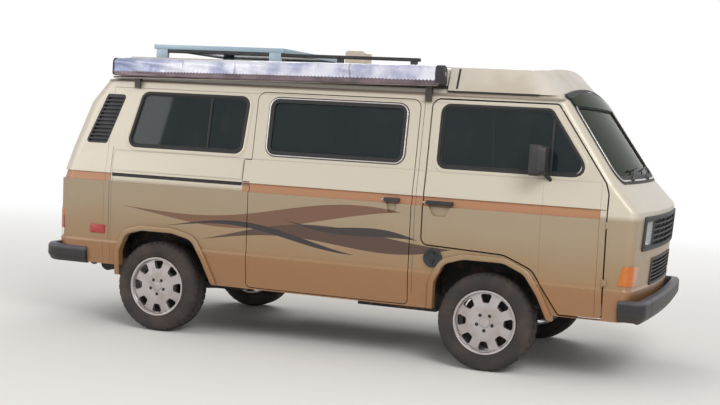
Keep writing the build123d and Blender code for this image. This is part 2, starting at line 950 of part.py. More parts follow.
parts = {
    "floor_pan": floor_pan(),
    "front_panel": front_panel(),
    "side_panel_left": side_panel(1),
    "side_panel_right": side_panel(-1) + track_cover,
    "rear_panel": rear_panel(),
    "roof_panel": roof_shape,
    "front_grilles": front_grilles(),
    "headlamps": headlamps(),
    "signal_lamps": turn_lamps + rear_lamps,
    "bumpers": bumpers,
    "fixed_glass": windscreen + side_windows,
    "body_trim": intake_louvres() + fuel_cap(),
    "door_left": door_left,
    "door_right": door_right,
    "door_glass_left": door_glass & left_space,
    "door_glass_right": door_glass & right_space,
    "mirror_left": mirror_left,
    "mirror_right": mirror(mirror_left, about=Plane.XZ),
    "sliding_door": sliding_door,
    "tailgate": tailgate,
    "tailgate_glass": tailgate_glass,
    "pop_top": pop_top,
    "bellows": bellows,
    "solar_panels": solar_panels(),
    "luggage_tray": luggage_tray(),
    "awning_bag": awning_bag(),
    "awning_rail": awning_rail(),
    "cab_seats": both_sides(cab_seat()),
    "dashboard": dashboard + steering_wheel(),
    "bench_cushions": bench_cushions,
    "cabinets": cabinets,
    "engine_block": engine_block,
    "underfloor_units": underfloor_units,
    "front_axle": front_axle(),
    "rear_axle": rear_axle(),
    "knuckle_left": knuckle(),
    "knuckle_right": mirror(knuckle(), about=Plane.XZ),
}
for place, (axle_x, sign) in wheel_places.items():
    parts[f"rim_{place}"] = seat_wheel(rim_shape, axle_x, sign)
    parts[f"tyre_{place}"] = seat_wheel(tyre_shape, axle_x, sign)

os.makedirs("parts", exist_ok=True)
for name, shape in parts.items():
    export_step(shape, f"parts/{name}.step")
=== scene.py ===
import bmesh
import bpy
import math
import random
from mathutils import Matrix, Vector
from mathutils import noise as noiseTools


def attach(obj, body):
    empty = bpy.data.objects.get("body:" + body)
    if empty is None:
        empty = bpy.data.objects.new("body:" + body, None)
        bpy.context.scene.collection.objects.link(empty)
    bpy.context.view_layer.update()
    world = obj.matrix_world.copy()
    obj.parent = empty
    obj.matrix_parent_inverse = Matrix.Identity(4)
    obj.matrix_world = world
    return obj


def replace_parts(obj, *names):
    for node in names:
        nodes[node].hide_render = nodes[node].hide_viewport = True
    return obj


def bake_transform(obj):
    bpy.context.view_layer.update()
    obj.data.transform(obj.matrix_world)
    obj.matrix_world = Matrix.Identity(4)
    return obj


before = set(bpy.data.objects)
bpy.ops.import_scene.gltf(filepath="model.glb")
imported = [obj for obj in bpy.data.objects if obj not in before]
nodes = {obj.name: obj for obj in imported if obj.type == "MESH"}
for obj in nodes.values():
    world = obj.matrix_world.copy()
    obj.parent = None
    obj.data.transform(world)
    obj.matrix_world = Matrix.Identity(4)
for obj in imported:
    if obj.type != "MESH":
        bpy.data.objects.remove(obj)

random.seed(7)
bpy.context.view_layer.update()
collection = bpy.context.scene.collection

# Van layout, in metres: +X forward, +Y to its left, +Z up
wheelPlaces = {
    "front_left": (1.216, 1),
    "front_right": (1.216, -1),
    "rear_left": (-1.245, 1),
    "rear_right": (-1.245, -1),
}
axleHeight = 0.325
halfTrack = 0.792
endBow = 6.5                  # radius to which nose and tail are rounded

# Columns: height, half width, front at the centre line, rear at the centre line
bodySections = [
    (0.380, 0.880, 2.165, -2.085),
    (0.617, 0.914, 2.216, -2.166),
    (0.633, 0.907, 2.209, -2.159),
    (1.062, 0.922, 2.235, -2.160),
    (1.120, 0.915, 2.235, -2.145),
    (1.288, 0.885, 2.075, -2.100),
    (1.640, 0.835, 1.823, -1.975),
    (1.804, 0.812, 1.706, -1.850),
    (1.850, 0.745, 1.650, -1.780),
]


def sectionAt(height):
    for below, above in zip(bodySections, bodySections[1:]):
        if height <= above[0]:
            share = (height - below[0]) / (above[0] - below[0])
            return [a + share * (b - a) for a, b in zip(below[1:], above[1:])]
    return bodySections[-1][1:]


def sideAt(height):
    return sectionAt(height)[0]


def noseAt(height, y):
    return sectionAt(height)[1] - y * y / (2 * endBow)


def tailAt(height, y):
    return sectionAt(height)[2] + y * y / (2 * endBow)


# A shader value, with which the materials calculate as with a number
class Field:
    def __init__(self, socket):
        self.socket = socket
        self.tree = socket.id_data

    def __add__(self, other):
        return calc("ADD", self, other)

    def __sub__(self, other):
        return calc("SUBTRACT", self, other)

    def __rsub__(self, other):
        return calc("SUBTRACT", other, self)

    def __mul__(self, other):
        return calc("MULTIPLY", self, other)

    def __truediv__(self, other):
        return calc("DIVIDE", self, other)

    def __gt__(self, other):
        return calc("GREATER_THAN", self, other)

    def __lt__(self, other):
        return calc("LESS_THAN", self, other)

    def __abs__(self):
        return calc("ABSOLUTE", self)


def feed(socket, value):
    if isinstance(value, Field):
        socket.id_data.links.new(value.socket, socket)
    else:
        socket.default_value = value


def addNode(tree, kind, sockets, **settings):
    node = tree.nodes.new("ShaderNode" + kind)
    for key, value in settings.items():
        setattr(node, key, value)
    for key, value in sockets.items():
        feed(node.inputs[key], value)
    return node


def calc(operation, first, second=0.0):
    tree = (first if isinstance(first, Field) else second).tree
    return Field(addNode(tree, "Math", {0: first, 1: second}, operation=operation).outputs[0])


def mixColour(share, first, second):
    return Field(addNode(share.tree, "Mix", {0: share, 6: first, 7: second}, data_type="RGBA").outputs[2])


def fade(value, start, end):      # 0 before start, 1 past end
    sockets = {"Value": value, "From Min": start, "From Max": end}
    return Field(addNode(value.tree, "MapRange", sockets, interpolation_type="SMOOTHSTEP").outputs[0])


def split(place):
    return [Field(socket) for socket in addNode(place.tree, "SeparateXYZ", {"Vector": place}).outputs]


def stretched(place, **sockets):
    return Field(addNode(place.tree, "Mapping", {"Vector": place, **sockets}).outputs[0])


def noise(place, scale, detail=3, roughness=0.5):
    sockets = {"Vector": place, "Scale": scale, "Detail": detail, "Roughness": roughness}
    return Field(addNode(place.tree, "TexNoise", sockets).outputs["Fac"])


def waves(place, scale, direction):
    sockets = {"Vector": place, "Scale": scale}
    return Field(addNode(place.tree, "TexWave", sockets, bands_direction=direction).outputs["Fac"])


def tone(red, green, blue):      # screen values, 0 to 255
    parts = []
    for value in (red, green, blue):
        value /= 255
        parts.append(value / 12.92 if value <= 0.04045 else ((value + 0.055) / 1.055) ** 2.4)
    return (*parts, 1)


def shaderOf(material):
    return material.node_tree.nodes["Principled BSDF"]


def startMaterial(name, **sockets):
    material = bpy.data.materials.new(name)
    material.use_nodes = True
    for key, value in sockets.items():
        words = "".join(" " + letter if letter.isupper() else letter for letter in key)
        shaderOf(material).inputs[words[0].upper() + words[1:]].default_value = value
    return material, Field(addNode(material.node_tree, "TexCoord", {}).outputs["Object"])


def finishMaterial(material, colour, height=None, strength=1.0, depth=1.0):
    inputs = shaderOf(material).inputs
    feed(inputs["Base Color"], colour)
    if height:
        bump = addNode(height.tree, "Bump", {"Height": height, "Strength": strength, "Distance": depth})
        feed(inputs["Normal"], Field(bump.outputs[0]))
    return material


# Paint: pale above the shoulder, gold-beige and warmer low down, with flowing stripes along the sides,
# painted shadow along the gutters and a painted reflection in the recessed band
paintLook = {
    "upper": tone(196, 187, 170),
    "shoulder": tone(156, 138, 113),
    "middle": tone(150, 122, 88),
    "lower": tone(148, 104, 66),
    # painted reflection of the warm ground in the recessed band
    "band": tone(166, 117, 82),
    # painted shadow of the awning and the tray, darkening the gutter
    "gutter": tone(118, 98, 88),
    "dust": tone(138, 102, 74),
    "seam": tone(62, 52, 44),
    "flake": tone(236, 228, 208),
    "upperFade": (1.058, 1.1),
    "middleFade": (1.0, 0.66),
    "lowerFade": (0.685, 0.575),
    "dustFade": (0.62, 0.38),
    "sideY": 0.86,
    "seamY": 0.8,
    "gutterY": 0.79,
    "gutterZ": 1.8035,
    "bandZ": (1.064, 1.13),
    "bandBehind": -1.653,         # on the right it leaves out the sliding door's track
    "bandAhead": (-0.585, 1.936),
}

# Ledges pressed into the sides: lower edge, upper edge, how far the skin steps in, rear end, front end
pressedLedges = [
    (1.060, 1.069, 0.0050, -2.200, 1.935),
    (1.292, 1.303, 0.0060, -1.640, 1.935),
    (0.624, 0.633, 0.0020, -2.200, 2.300),
    (1.752, 1.762, 0.0040, -1.700, 1.560),
]

# Seams pressed into the skin: place along the side, lowest and highest point
bodySeams = [
    (-1.655, 0.640, 1.322),
    (0.705, 0.470, 1.770),
]

# Columns: start x, end x, height, rise, swell, wave length, phase, half thickness, colour
sideStripes = [
    (-1.62, 0.62, 0.86, 0.10, 0.055, 2.3, 0.4, 0.060, tone(112, 78, 56)),
    (-0.95, 0.98, 0.73, 0.10, 0.050, 2.0, 2.2, 0.062, tone(78, 54, 42)),
    (-1.30, 0.30, 0.80, -0.05, 0.060, 1.9, 3.6, 0.022, tone(38, 31, 32)),
    (-0.30, 0.74, 0.93, -0.14, 0.040, 1.4, 5.0, 0.030, tone(46, 37, 36)),
]


def stripeMask(x, z, stripe):
    start, end, height, rise, swell, length, phase, half, _ = stripe
    along = (x - start) / (end - start)
    wave = calc("SINE", x * (2 * math.pi / length) + phase)
    middle = wave * swell + (along * rise + height)
    taper = calc("SINE", calc("POWER", along, 1.5) * math.pi)
    reach = calc("MAXIMUM", taper, 0.0) * half
    inside = fade(reach - abs(z - middle), 0.0, 0.0015)
    return inside * ((along > 0.0) * (along < 1.0))


def makePaint():
    look = paintLook
    material, place = startMaterial("goldPaint", metallic=0.12, coatWeight=0.35, coatRoughness=0.2)
    x, y, z = split(place)
    onSide = abs(y) > look["sideY"]
    onSeamSide = abs(y) > look["seamY"]

    level = z + (noise(place, 2.2, 4) - 0.5) * 0.22
    colour = mixColour(fade(level, *look["middleFade"]), look["shoulder"], look["middle"])
    colour = mixColour(fade(z, *look["upperFade"]), colour, look["upper"])
    colour = mixColour(fade(z, *look["lowerFade"]) * 0.9, colour, look["lower"])
    # Painted shadow: the gutter under the awning and the tray is darkened
    gutter = (z > look["gutterZ"]) * (abs(y) > look["gutterY"])
    colour = mixColour(gutter * 0.7, colour, look["gutter"])

    low, high = look["bandZ"]
    rear, front = look["bandAhead"]
    behind = fade(x, look["bandBehind"], look["bandBehind"] - 0.003)
    ahead = fade(x, rear, rear + 0.003) * fade(x, front, front - 0.004)
    shown = calc("MAXIMUM", calc("MAXIMUM", behind, ahead), y > 0.0)
    # The recessed band is mixed to a warmer tan: a painted reflection of the warm ground
    band = fade(z, low, low + 0.004) * fade(z, high, high - 0.004) * shown
    colour = mixColour(band * onSide, colour, look["band"])
    for stripe in sideStripes:
        colour = mixColour(stripeMask(x, z, stripe) * onSide, colour, stripe[-1])
    for along, low, high in bodySeams:
        seam = fade(abs(x - along), 0.0022, 0.0012) * fade(z, low, low + 0.002) * fade(z, high, high - 0.002)
        colour = mixColour(seam * onSeamSide, colour, look["seam"])

    grime = noise(place, 9, 6, 0.65)
    dust = fade(z, *look["dustFade"]) * fade(grime, 0.42, 0.72)
    colour = mixColour(dust * 0.55, colour, look["dust"])
    colour = mixColour(fade(noise(place, 900, 1), 0.55, 0.8) * 0.12, colour, look["flake"])
    feed(shaderOf(material).inputs["Roughness"], grime * 0.14 + 0.34)

    relief = noise(place, 260, 2) * 0.00003
    for bottom, top, depth, rear, front in pressedLedges:
        within = fade(x, rear, rear + 0.004) * fade(x, front, front - 0.004) * onSeamSide
        relief = relief + fade(z, top, bottom) * depth * within
    return finishMaterial(material, colour, relief)


def makeGelcoat():
    material, place = startMaterial("agedGelcoat", roughness=0.42, coatWeight=0.2, coatRoughness=0.25)
    colour = mixColour(fade(noise(place, 3.1, 5), 0.35, 0.7), tone(204, 196, 184), tone(184, 173, 156))
    speck = fade(noise(place, 60, 4, 0.7), 0.62, 0.75)
    colour = mixColour(speck * 0.35, colour, tone(120, 106, 84))
    return finishMaterial(material, colour, noise(place, 140, 3), 0.12, 0.001)


# Dark moulding, lighter along its upper edge and dusty below
def makeBumperPlastic():
    material, place = startMaterial("bumperPlastic", roughness=0.5)
    z = split(place)[2]
    # lighter in patches along the upper edge
    lighterTop = fade(z, 0.530, 0.556) * (noise(place, 11, 5) + 0.25)
    colour = mixColour(lighterTop, tone(34, 31, 32), tone(84, 81, 88))
    colour = mixColour(fade(z, 0.50, 0.42) * 0.3, colour, tone(96, 74, 56))
    return finishMaterial(material, colour, noise(place, 380, 2), 0.3, 0.0008)


# Glass: greener and duller in the windscreen, its green a painted reflection of trees; the windscreen lies
# within these fades along and across the van
glassLook = {
    # the windscreen's green is a painted reflection of trees
    "screen": tone(40, 50, 36),
    "haze": tone(120, 116, 100),
    "screenX": (1.6, 1.64),
    "screenY": (0.8, 0.78),
    "shine": 0.3,
    "screenDull": 0.295,
    "screenAlpha": 0.08,
}


def makeGlass(name, colour, alpha):
    look = glassLook
    material, place = startMaterial(name, roughness=0.03, alpha=alpha)
    x, y, _ = split(place)
    ahead = fade(x, *look["screenX"]) * fade(abs(y), *look["screenY"])
    inputs = shaderOf(material).inputs
    # the export drops the link below
    inputs["Specular IOR Level"].default_value = look["shine"]      # also set as a plain value, which stays where the link below is dropped
    feed(inputs["Specular IOR Level"], look["shine"] - ahead * look["screenDull"])
    feed(inputs["Alpha"], ahead * look["screenAlpha"] + alpha)
    # painted reflection of trees: the windscreen's glass turns greener
    colour = mixColour(ahead, colour, look["screen"])
    haze = fade(noise(place, 5, 6, 0.7), 0.5, 0.85) * 0.1
    return finishMaterial(material, mixColour(haze, colour, look["haze"]))


# Lenses: amber ahead, red behind, and at the tail a clear lamp below and an amber one above
lensLook = {
    "amber": (tone(206, 116, 10), tone(172, 84, 4)),
    "red": (tone(186, 46, 34), tone(136, 22, 20)),
    "clear": tone(226, 222, 214),
    "tailX": -1.95,
    "clearZ": 0.694,
    "amberZ": 0.786,
}


def makeSignalLens():
    look = lensLook
    material, place = startMaterial("signalLens", roughness=0.16, coatWeight=0.4)
    x, _, z = split(place)
    ribs = waves(place, 42.0, "Z")
    amber = mixColour(ribs, *look["amber"])
    atTail = fade(x, look["tailX"], look["tailX"] - 0.02)
    colour = mixColour(fade(x, 0.1, 0.0), amber, mixColour(ribs, *look["red"]))
    colour = mixColour(atTail * fade(z, look["clearZ"], look["clearZ"] - 0.002), colour, look["clear"])
    colour = mixColour(atTail * fade(z, look["amberZ"], look["amberZ"] + 0.002), colour, amber)
    return finishMaterial(material, colour, ribs, 0.5, 0.002)


# Dark moulded rail with a bright lip along its lower edge
def makeRailMaterial():
    material, place = startMaterial("awningRail", metallic=0.2, roughness=0.45)
    x, y, z = split(place)
    level = z - (x + 1.73) * 0.0157
    lip = fade(level, 1.8295, 1.8285) * (y < -0.8535)
    dark = mixColour(noise(place, 18, 4), tone(74, 64, 60), tone(52, 47, 46))
    colour = mixColour(lip, dark, tone(190, 178, 170))
    return finishMaterial(material, colour, noise(place, 220, 2), 0.12, 0.0008)


# Solar cells between silver lines, with fine fingers across them
cellLook = {
    "size": 0.0831,
    "startX": -1.506,
    "startY": -0.526,
    "fingers": 160.0,             # to the metre
    "deep": tone(22, 30, 52),
    "light": tone(34, 44, 70),
    "line": tone(120, 130, 142),
}


def makeCells():
    look = cellLook
    material, place = startMaterial("solarCells", roughness=0.1, coatWeight=0.6)
    x, y, _ = split(place)
    lines = fade(abs(calc("FRACT", y * look["fingers"]) - 0.5), 0.36, 0.46) * 0.25
    for value, start in ((x, look["startX"]), (y, look["startY"])):
        away = abs(calc("FRACT", (value - start) / look["size"]) - 0.5)
        lines = calc("MAXIMUM", lines, fade(away, 0.47, 0.484))
    silicon = mixColour(noise(place, 8, 4), look["deep"], look["light"])
    return finishMaterial(material, mixColour(lines, silicon, look["line"]))


def makeLampGlass():
    material, place = startMaterial("lampGlass", roughness=0.05, alpha=0.42)
    flutes = waves(stretched(place, Scale=(0.0, 1.0, 0.0)), 26.0, "Y")
    colour = mixColour(flutes, tone(236, 238, 238), tone(196, 202, 206))
    return finishMaterial(material, colour, flutes, 0.8, 0.003)


def makeWebbing():
    material, place = startMaterial("strapWebbing", roughness=0.8)
    weave = waves(place, 150.0, "DIAGONAL")
    return finishMaterial(material, mixColour(weave, tone(34, 33, 36), tone(58, 56, 58)), weave, 0.4, 0.0008)


# Awning sleeve: silvery above a laced seam, darker below it, creased on a slant, with painted shade in the
# creases, in patches and towards the rear end
vinylLook = {
    "silver": tone(218, 218, 228),
    "rearShade": tone(96, 110, 154),
    "shade": tone(164, 168, 194),
    # painted shade in the creases
    "crease": tone(96, 92, 108),
    "under": tone(116, 98, 104),
    "underWorn": tone(84, 72, 78),
    "lace": tone(52, 44, 50),
    "rearX": -1.69,
    "seamHeight": 1.869,          # at the bag's rear end
    "seamRise": 0.0105,
    "toothLength": 0.026,
    "toothHeight": 0.008,
    "laceX": (-1.25, 0.45),
}


def makeVinyl():
    look = vinylLook
    material, place = startMaterial("bagVinyl", roughness=0.3, metallic=0.25, coatWeight=0.3)
    x, _, z = split(place)
    level = z - (x - look["rearX"]) * look["seamRise"] - look["seamHeight"]
    colour = mixColour(fade(noise(place, 3.2, 5, 0.6), 0.42, 0.64), look["silver"], look["shade"])
    colour = mixColour(fade(x, -1.2, -1.62) * 0.8, colour, look["rearShade"])
    crease = noise(stretched(place, Rotation=(0, 0.9, 0), Scale=(26.0, 5.0, 4.0)), 1.0, 4, 0.6)
    # painted shade darkens the creases
    colour = mixColour(fade(crease, 0.6, 0.7) * 0.55, colour, look["crease"])

    tooth = abs(calc("FRACT", x / look["toothLength"]) - 0.5)
    edge = level - tooth * (2 * look["toothHeight"])
    under = mixColour(fade(noise(place, 7, 5), 0.4, 0.7), look["under"], look["underWorn"])
    colour = mixColour(fade(edge, 0.001, -0.001), colour, under)
    rear, front = look["laceX"]
    laced = fade(x, rear, rear + 0.05) * fade(x, front, front - 0.05)
    colour = mixColour(fade(abs(edge), 0.0024, 0.0012) * laced, colour, look["lace"])
    weave = (waves(place, 320.0, "X") + waves(place, 320.0, "Z")) * 0.00004
    return finishMaterial(material, colour, weave + crease * 0.006, 0.8)


def makeCloth(name, light, dark, scale):
    material, place = startMaterial(name, roughness=0.9, sheenWeight=0.2)
    thread = (waves(place, scale, "X") + waves(place, scale, "Z")) * 0.5
    worn = fade(noise(place, 5, 4), 0.4, 0.8) * 0.4
    return finishMaterial(material, mixColour(worn, mixColour(thread, light, dark), dark), thread, 0.3, 0.001)


# Plain finishes. Columns: two tones, noise that mixes them, its fade, grain with strength and depth, shader
# settings, and how the noise is stretched, which then is the grain as well
plainFinishes = {
    "blackPlastic": ((30, 30, 32), (54, 52, 52), (7, 5), (0.38, 0.72), (420, 2, 0.25, 0.0008),
                     {"roughness": 0.55}),
    "dashPlastic": ((44, 42, 42), (62, 58, 54), (7, 5), (0.38, 0.72), (260, 2, 0.25, 0.0008),
                    {"roughness": 0.55}),
    "wheelSilver": ((184, 178, 178), (158, 144, 136), (9, 5, 0.6), (0.4, 0.85), (520, 2, 0.06, 0.0006),
                    {"metallic": 0.75, "roughness": 0.34, "coatWeight": 0.3}),
    "chassisPaint": ((38, 36, 36), (86, 64, 48), (13, 7, 0.68), (0.48, 0.66), (90, 4, 0.35, 0.002),
                     {"roughness": 0.6}),
    "castIron": ((84, 80, 78), (110, 78, 56), (13, 7, 0.68), (0.48, 0.66), (90, 4, 0.35, 0.002),
                 {"metallic": 0.5, "roughness": 0.6}),
    "rubberSeal": ((18, 18, 20), (38, 36, 36), (20, 4), None, (240, 2, 0.15, 0.0006), {"roughness": 0.62}),
    "brightTrim": ((214, 210, 208), (176, 166, 162), (30, 4), None, (500, 2, 0.05, 0.0004),
                   {"metallic": 0.85, "roughness": 0.26}),
    "chrome": ((226, 228, 230), (202, 204, 208), (40, 3), None, None, {"metallic": 1.0, "roughness": 0.08}),
    "frostedGlass": ((238, 236, 226), (210, 206, 196), (60, 2), None, None,
                     {"roughness": 0.3, "coatWeight": 0.5}),
    "beechLaminate": ((176, 150, 116), (140, 112, 80), (4.0, 7, 0.62), (0.35, 0.68), (0.08, 0.001),
                      {"roughness": 0.45}, (2.0, 2.0, 14.0)),
    "anodisedFrame": ((176, 196, 208), (132, 152, 168), (3.0, 5), None, (0.06, 0.0006),
                      {"metallic": 0.2, "roughness": 0.4}, (3.0, 120.0, 120.0)),
}


def makeFinish(name):
    first, second, cloud, over, grain, settings, *stretch = plainFinishes[name]
    material, place = startMaterial(name, **settings)
    pattern = noise(stretched(place, Scale=stretch[0]) if stretch else place, *cloud)
    colour = mixColour(fade(pattern, *over) if over else pattern, tone(*first), tone(*second))
    if not grain:
        return finishMaterial(material, colour)
    return finishMaterial(material, colour, pattern if stretch else noise(place, *grain[:2]), *grain[-2:])


def makeRubber():
    material, place = startMaterial("dustyRubber", roughness=0.82)
    dust = fade(noise(place, 7, 5, 0.6), 0.35, 0.85) * 0.45
    colour = mixColour(dust, tone(46, 42, 41), tone(102, 84, 72))
    return finishMaterial(material, colour, noise(place, 300, 3), 0.3, 0.001)


paint = makePaint()
gelcoat = makeGelcoat()
blackPlastic = makeFinish("blackPlastic")
dashPlastic = makeFinish("dashPlastic")
bumperPlastic = makeBumperPlastic()
sideGlass = makeGlass("tintedGlass", tone(24, 36, 38), 0.8)
shadeGlass = makeGlass("shadeGlass", tone(24, 34, 24), 1.0)
signalLens = makeSignalLens()
alloy = makeFinish("wheelSilver")
rubber = makeRubber()
chassis = makeFinish("chassisPaint")
castIron = makeFinish("castIron")
vinyl = makeVinyl()
canvas = makeCloth("bellowsCanvas", tone(168, 156, 132), tone(134, 122, 100), 190)
upholstery = makeCloth("seatCloth", tone(78, 70, 64), tone(52, 46, 42), 160)
laminate = makeFinish("beechLaminate")
anodised = makeFinish("anodisedFrame")
railMaterial = makeRailMaterial()
solarCells = makeCells()
rubberSeal = makeFinish("rubberSeal")
brightTrim = makeFinish("brightTrim")
chrome = makeFinish("chrome")
lampGlass = makeLampGlass()
frostedGlass = makeFinish("frostedGlass")
strapWebbing = makeWebbing()

nodeMaterials = [
    (paint, "front_panel side_panel_left side_panel_right rear_panel roof_panel door_left door_right "
            "sliding_door tailgate"),
    (gelcoat, "pop_top luggage_tray"),
    (sideGlass, "fixed_glass door_glass_left door_glass_right tailgate_glass"),
    (blackPlastic, "front_grilles headlamps body_trim mirror_left mirror_right"),
    (dashPlastic, "dashboard"),
    (bumperPlastic, "bumpers"),
    (signalLens, "signal_lamps"),
    (canvas, "bellows"),
    (anodised, "solar_panels"),
    (vinyl, "awning_bag"),
    (railMaterial, "awning_rail"),
    (upholstery, "cab_seats bench_cushions"),
    (laminate, "cabinets"),
    (chassis, "floor_pan underfloor_units front_axle rear_axle"),
    (castIron, "engine_block knuckle_left knuckle_right"),
    (alloy, "rim_front_left rim_front_right rim_rear_left rim_rear_right"),
    (rubber, "tyre_front_left tyre_front_right tyre_rear_left tyre_rear_right"),
]


def dressNodes():
    for material, names in nodeMaterials:
        for name in names.split():
            node = nodes[name]
            if not node.data.materials:
                node.data.materials.append(material)
            for slot in node.material_slots:
                slot.material = material


dressNodes()
print("materials ready")


# Surfaces that pieces lie on: across, stand-off and height to a place on the van

def rightSide(across, stand, height):
    return Vector((across, -sideAt(height) - stand, height))


def leftSide(across, stand, height):
    return Vector((across, sideAt(height) + stand, height))


def onEnd(endAt, sign, across, stand, height):
    step = 0.001
    slope = (endAt(height + step, across) - endAt(height - step, across)) / (2 * step)
    normal = Vector((sign, 0, -sign * slope)).normalized()
    return Vector((endAt(height, across), across, height)) + normal * stand


def nose(across, stand, height):
    return onEnd(noseAt, 1, across, stand, height)


def tail(across, stand, height):
    return onEnd(tailAt, -1, across, stand, height)


# Columns: name, sign of Y, surface, door
bothSides = [
    ("Left", 1, leftSide, "left_front_door"),
    ("Right", -1, rightSide, "right_front_door"),
]


# Shared ways to start, shape and finish a piece

def box(left, low, right, high):
    return [(left, low), (right, low), (right, high), (left, high)]


def spread(low, high, count):
    return [low + (high - low) * index / (count - 1) for index in range(count)]


def startBlock(size, place=(0, 0, 0)):
    bm = bmesh.new()
    bmesh.ops.create_cube(bm, size=1)
    bmesh.ops.scale(bm, vec=size, verts=bm.verts)
    bmesh.ops.translate(bm, vec=place, verts=bm.verts)
    return bm


def startFace(points, radius, segments=6):      # upright, its corners rounded
    bm = bmesh.new()
    radii = radius if isinstance(radius, list) else [radius] * len(points)
    corners = [bm.verts.new((across, 0, height)) for across, height in points]
    bm.faces.new(corners)
    for index, corner in enumerate(corners):
        here = Vector(points[index])
        before = Vector(points[index - 1]) - here
        after = Vector(points[(index + 1) % len(points)]) - here
        reach = radii[index] / math.tan(before.angle(after) / 2)
        bmesh.ops.bevel(bm, geom=[corner], affect="VERTICES", offset=reach, offset_type="OFFSET",
                        segments=segments, profile=0.5, material=-1)
    return bm


def startCopy(node):
    bm = bmesh.new()
    bm.from_mesh(nodes[node].data)
    bmesh.ops.remove_doubles(bm, verts=bm.verts, dist=0.00001)
    bmesh.ops.dissolve_limit(bm, angle_limit=math.radians(1), verts=bm.verts, edges=bm.edges,
                             delimit={"NORMAL"})
    return bm


def inset(bm, thickness):
    return bmesh.ops.inset_region(bm, faces=bm.faces[:], thickness=thickness, use_boundary=True,
                                  use_even_offset=True)["faces"]


def keepRim(bm, thickness):
    rim = inset(bm, thickness)
    bmesh.ops.delete(bm, geom=[face for face in bm.faces if face not in rim], context="FACES")


def cutRing(bm, outside, inside):
    bmesh.ops.delete(bm, geom=inset(bm, -outside), context="FACES")
    keepRim(bm, outside - inside)


def vertsIn(parts):
    return [part for part in parts if isinstance(part, bmesh.types.BMVert)]


def extrudeAlong(bm, length):
    grown = bmesh.ops.extrude_face_region(bm, geom=bm.faces[:])["geom"]
    bmesh.ops.translate(bm, vec=(0, length, 0), verts=vertsIn(grown))


def thicken(bm, low, high):
    bmesh.ops.solidify(bm, geom=bm.faces[:], thickness=0.01)
    middle = sum(vert.co.y for vert in bm.verts) / len(bm.verts)
    for vert in bm.verts:
        vert.co.y = high if vert.co.y > middle else low


def softenEdges(bm, size, segments=2):
    sharp = [edge for edge in bm.edges if len(edge.link_faces) == 2 and edge.calc_face_angle(0) > 1.0]
    bmesh.ops.bevel(bm, geom=sharp, affect="EDGES", offset=size, segments=segments, profile=0.5, material=-1,
                    clamp_overlap=True)


def sliceAcross(bm, positions, axis=0):
    normal = [0, 0, 0]
    normal[axis] = 1
    for position in positions:
        place = [position * part for part in normal]
        geometry = bm.verts[:] + bm.edges[:] + bm.faces[:]
        bmesh.ops.bisect_plane(bm, geom=geometry, plane_co=place, plane_no=normal, dist=0.0002)


def turn(bm, degrees, axis):
    matrix = Matrix.Rotation(math.radians(degrees), 3, axis)
    bmesh.ops.rotate(bm, cent=(0, 0, 0), matrix=matrix, verts=bm.verts)


def spinRound(bm, parts, centre, axis, steps):
    bmesh.ops.spin(bm, geom=parts, cent=centre, axis=axis, dvec=(0, 0, 0), angle=2 * math.pi, steps=steps,
                   use_merge=True)


def wrapOnto(bm, surface):
    for vert in bm.verts:
        vert.co = surface(*vert.co)


def finishPiece(name, bm, material, body="body", sharpAngle=35):
    bmesh.ops.remove_doubles(bm, verts=bm.verts, dist=0.00002)
    bmesh.ops.recalc_face_normals(bm, faces=bm.faces)
    mesh = bpy.data.meshes.new(name)
    bm.to_mesh(mesh)
    bm.free()
    for face in mesh.polygons:
        face.use_smooth = True
    mesh.set_sharp_from_angle(angle=math.radians(sharpAngle))
    mesh.materials.append(material)
    piece = bpy.data.objects.new(name, mesh)
    collection.objects.link(piece)
    if body:
        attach(piece, body)
    return piece


def addModifier(piece, kind, **settings):
    modifier = piece.modifiers.new(kind.lower(), kind)
    for key, value in settings.items():
        setattr(modifier, key, value)


def addBevel(piece, width, segments, degrees):
    addModifier(piece, "BEVEL", width=width, segments=segments, limit_method="ANGLE",
                angle_limit=math.radians(degrees))


def makeSlab(name, bm, low, high, soft, surface, material, body="body", cuts=()):
    thicken(bm, low, high)
    sliceAcross(bm, cuts)
    softenEdges(bm, soft)
    wrapOnto(bm, surface)
    return finishPiece(name, bm, material, body)


def makePlate(name, points, radius, *slab):
    return makeSlab(name, startFace(points, radius), *slab)


def makeRing(name, points, radius, outside, inside, *slab):
    bm = startFace(points, radius)
    cutRing(bm, outside, inside)
    return makeSlab(name, bm, *slab)


def makeBar(name, low, high, soft, material, body="body", surface=None, cuts=()):
    size = [b - a for a, b in zip(low, high)]
    bm = startBlock(size, [(a + b) / 2 for a, b in zip(low, high)])
    sliceAcross(bm, cuts)
    softenEdges(bm, soft, 3)
    if surface:
        wrapOnto(bm, surface)
    return finishPiece(name, bm, material, body)


# Profile points are radius and distance along the axis
def makeLathe(name, profile, centre, axis, material, body="body", steps=48, sharpAngle=35):
    bm = bmesh.new()
    axis = Vector(axis).normalized()
    centre = Vector(centre)
    out = Vector((0, 0, 1)) if abs(axis.z) < 0.9 else Vector((1, 0, 0))
    verts = [bm.verts.new(centre + out * radius + axis * along) for radius, along in profile]
    edges = [bm.edges.new(pair) for pair in zip(verts, verts[1:])]
    spinRound(bm, verts + edges, centre, axis, steps)
    return finishPiece(name, bm, material, body, sharpAngle)


def makeStrip(name, start, end, low, high, halfWidth, material, body, surface):
    run = Vector(end) - Vector(start)
    bm = startBlock((run.length, high - low, 2 * halfWidth))
    sliceAcross(bm, spread(-run.length / 2, run.length / 2, 14)[1:-1])
    softenEdges(bm, min(halfWidth, (high - low) / 2) * 0.5)
    angle = math.atan2(run.y, run.x)
    middle = (Vector(start) + Vector(end)) / 2
    for vert in bm.verts:
        across = middle.x + vert.co.x * math.cos(angle) - vert.co.z * math.sin(angle)
        height = middle.y + vert.co.x * math.sin(angle) + vert.co.z * math.cos(angle)
        vert.co = surface(across, (low + high) / 2 + vert.co.y, height)
    return finishPiece(name, bm, material, body)


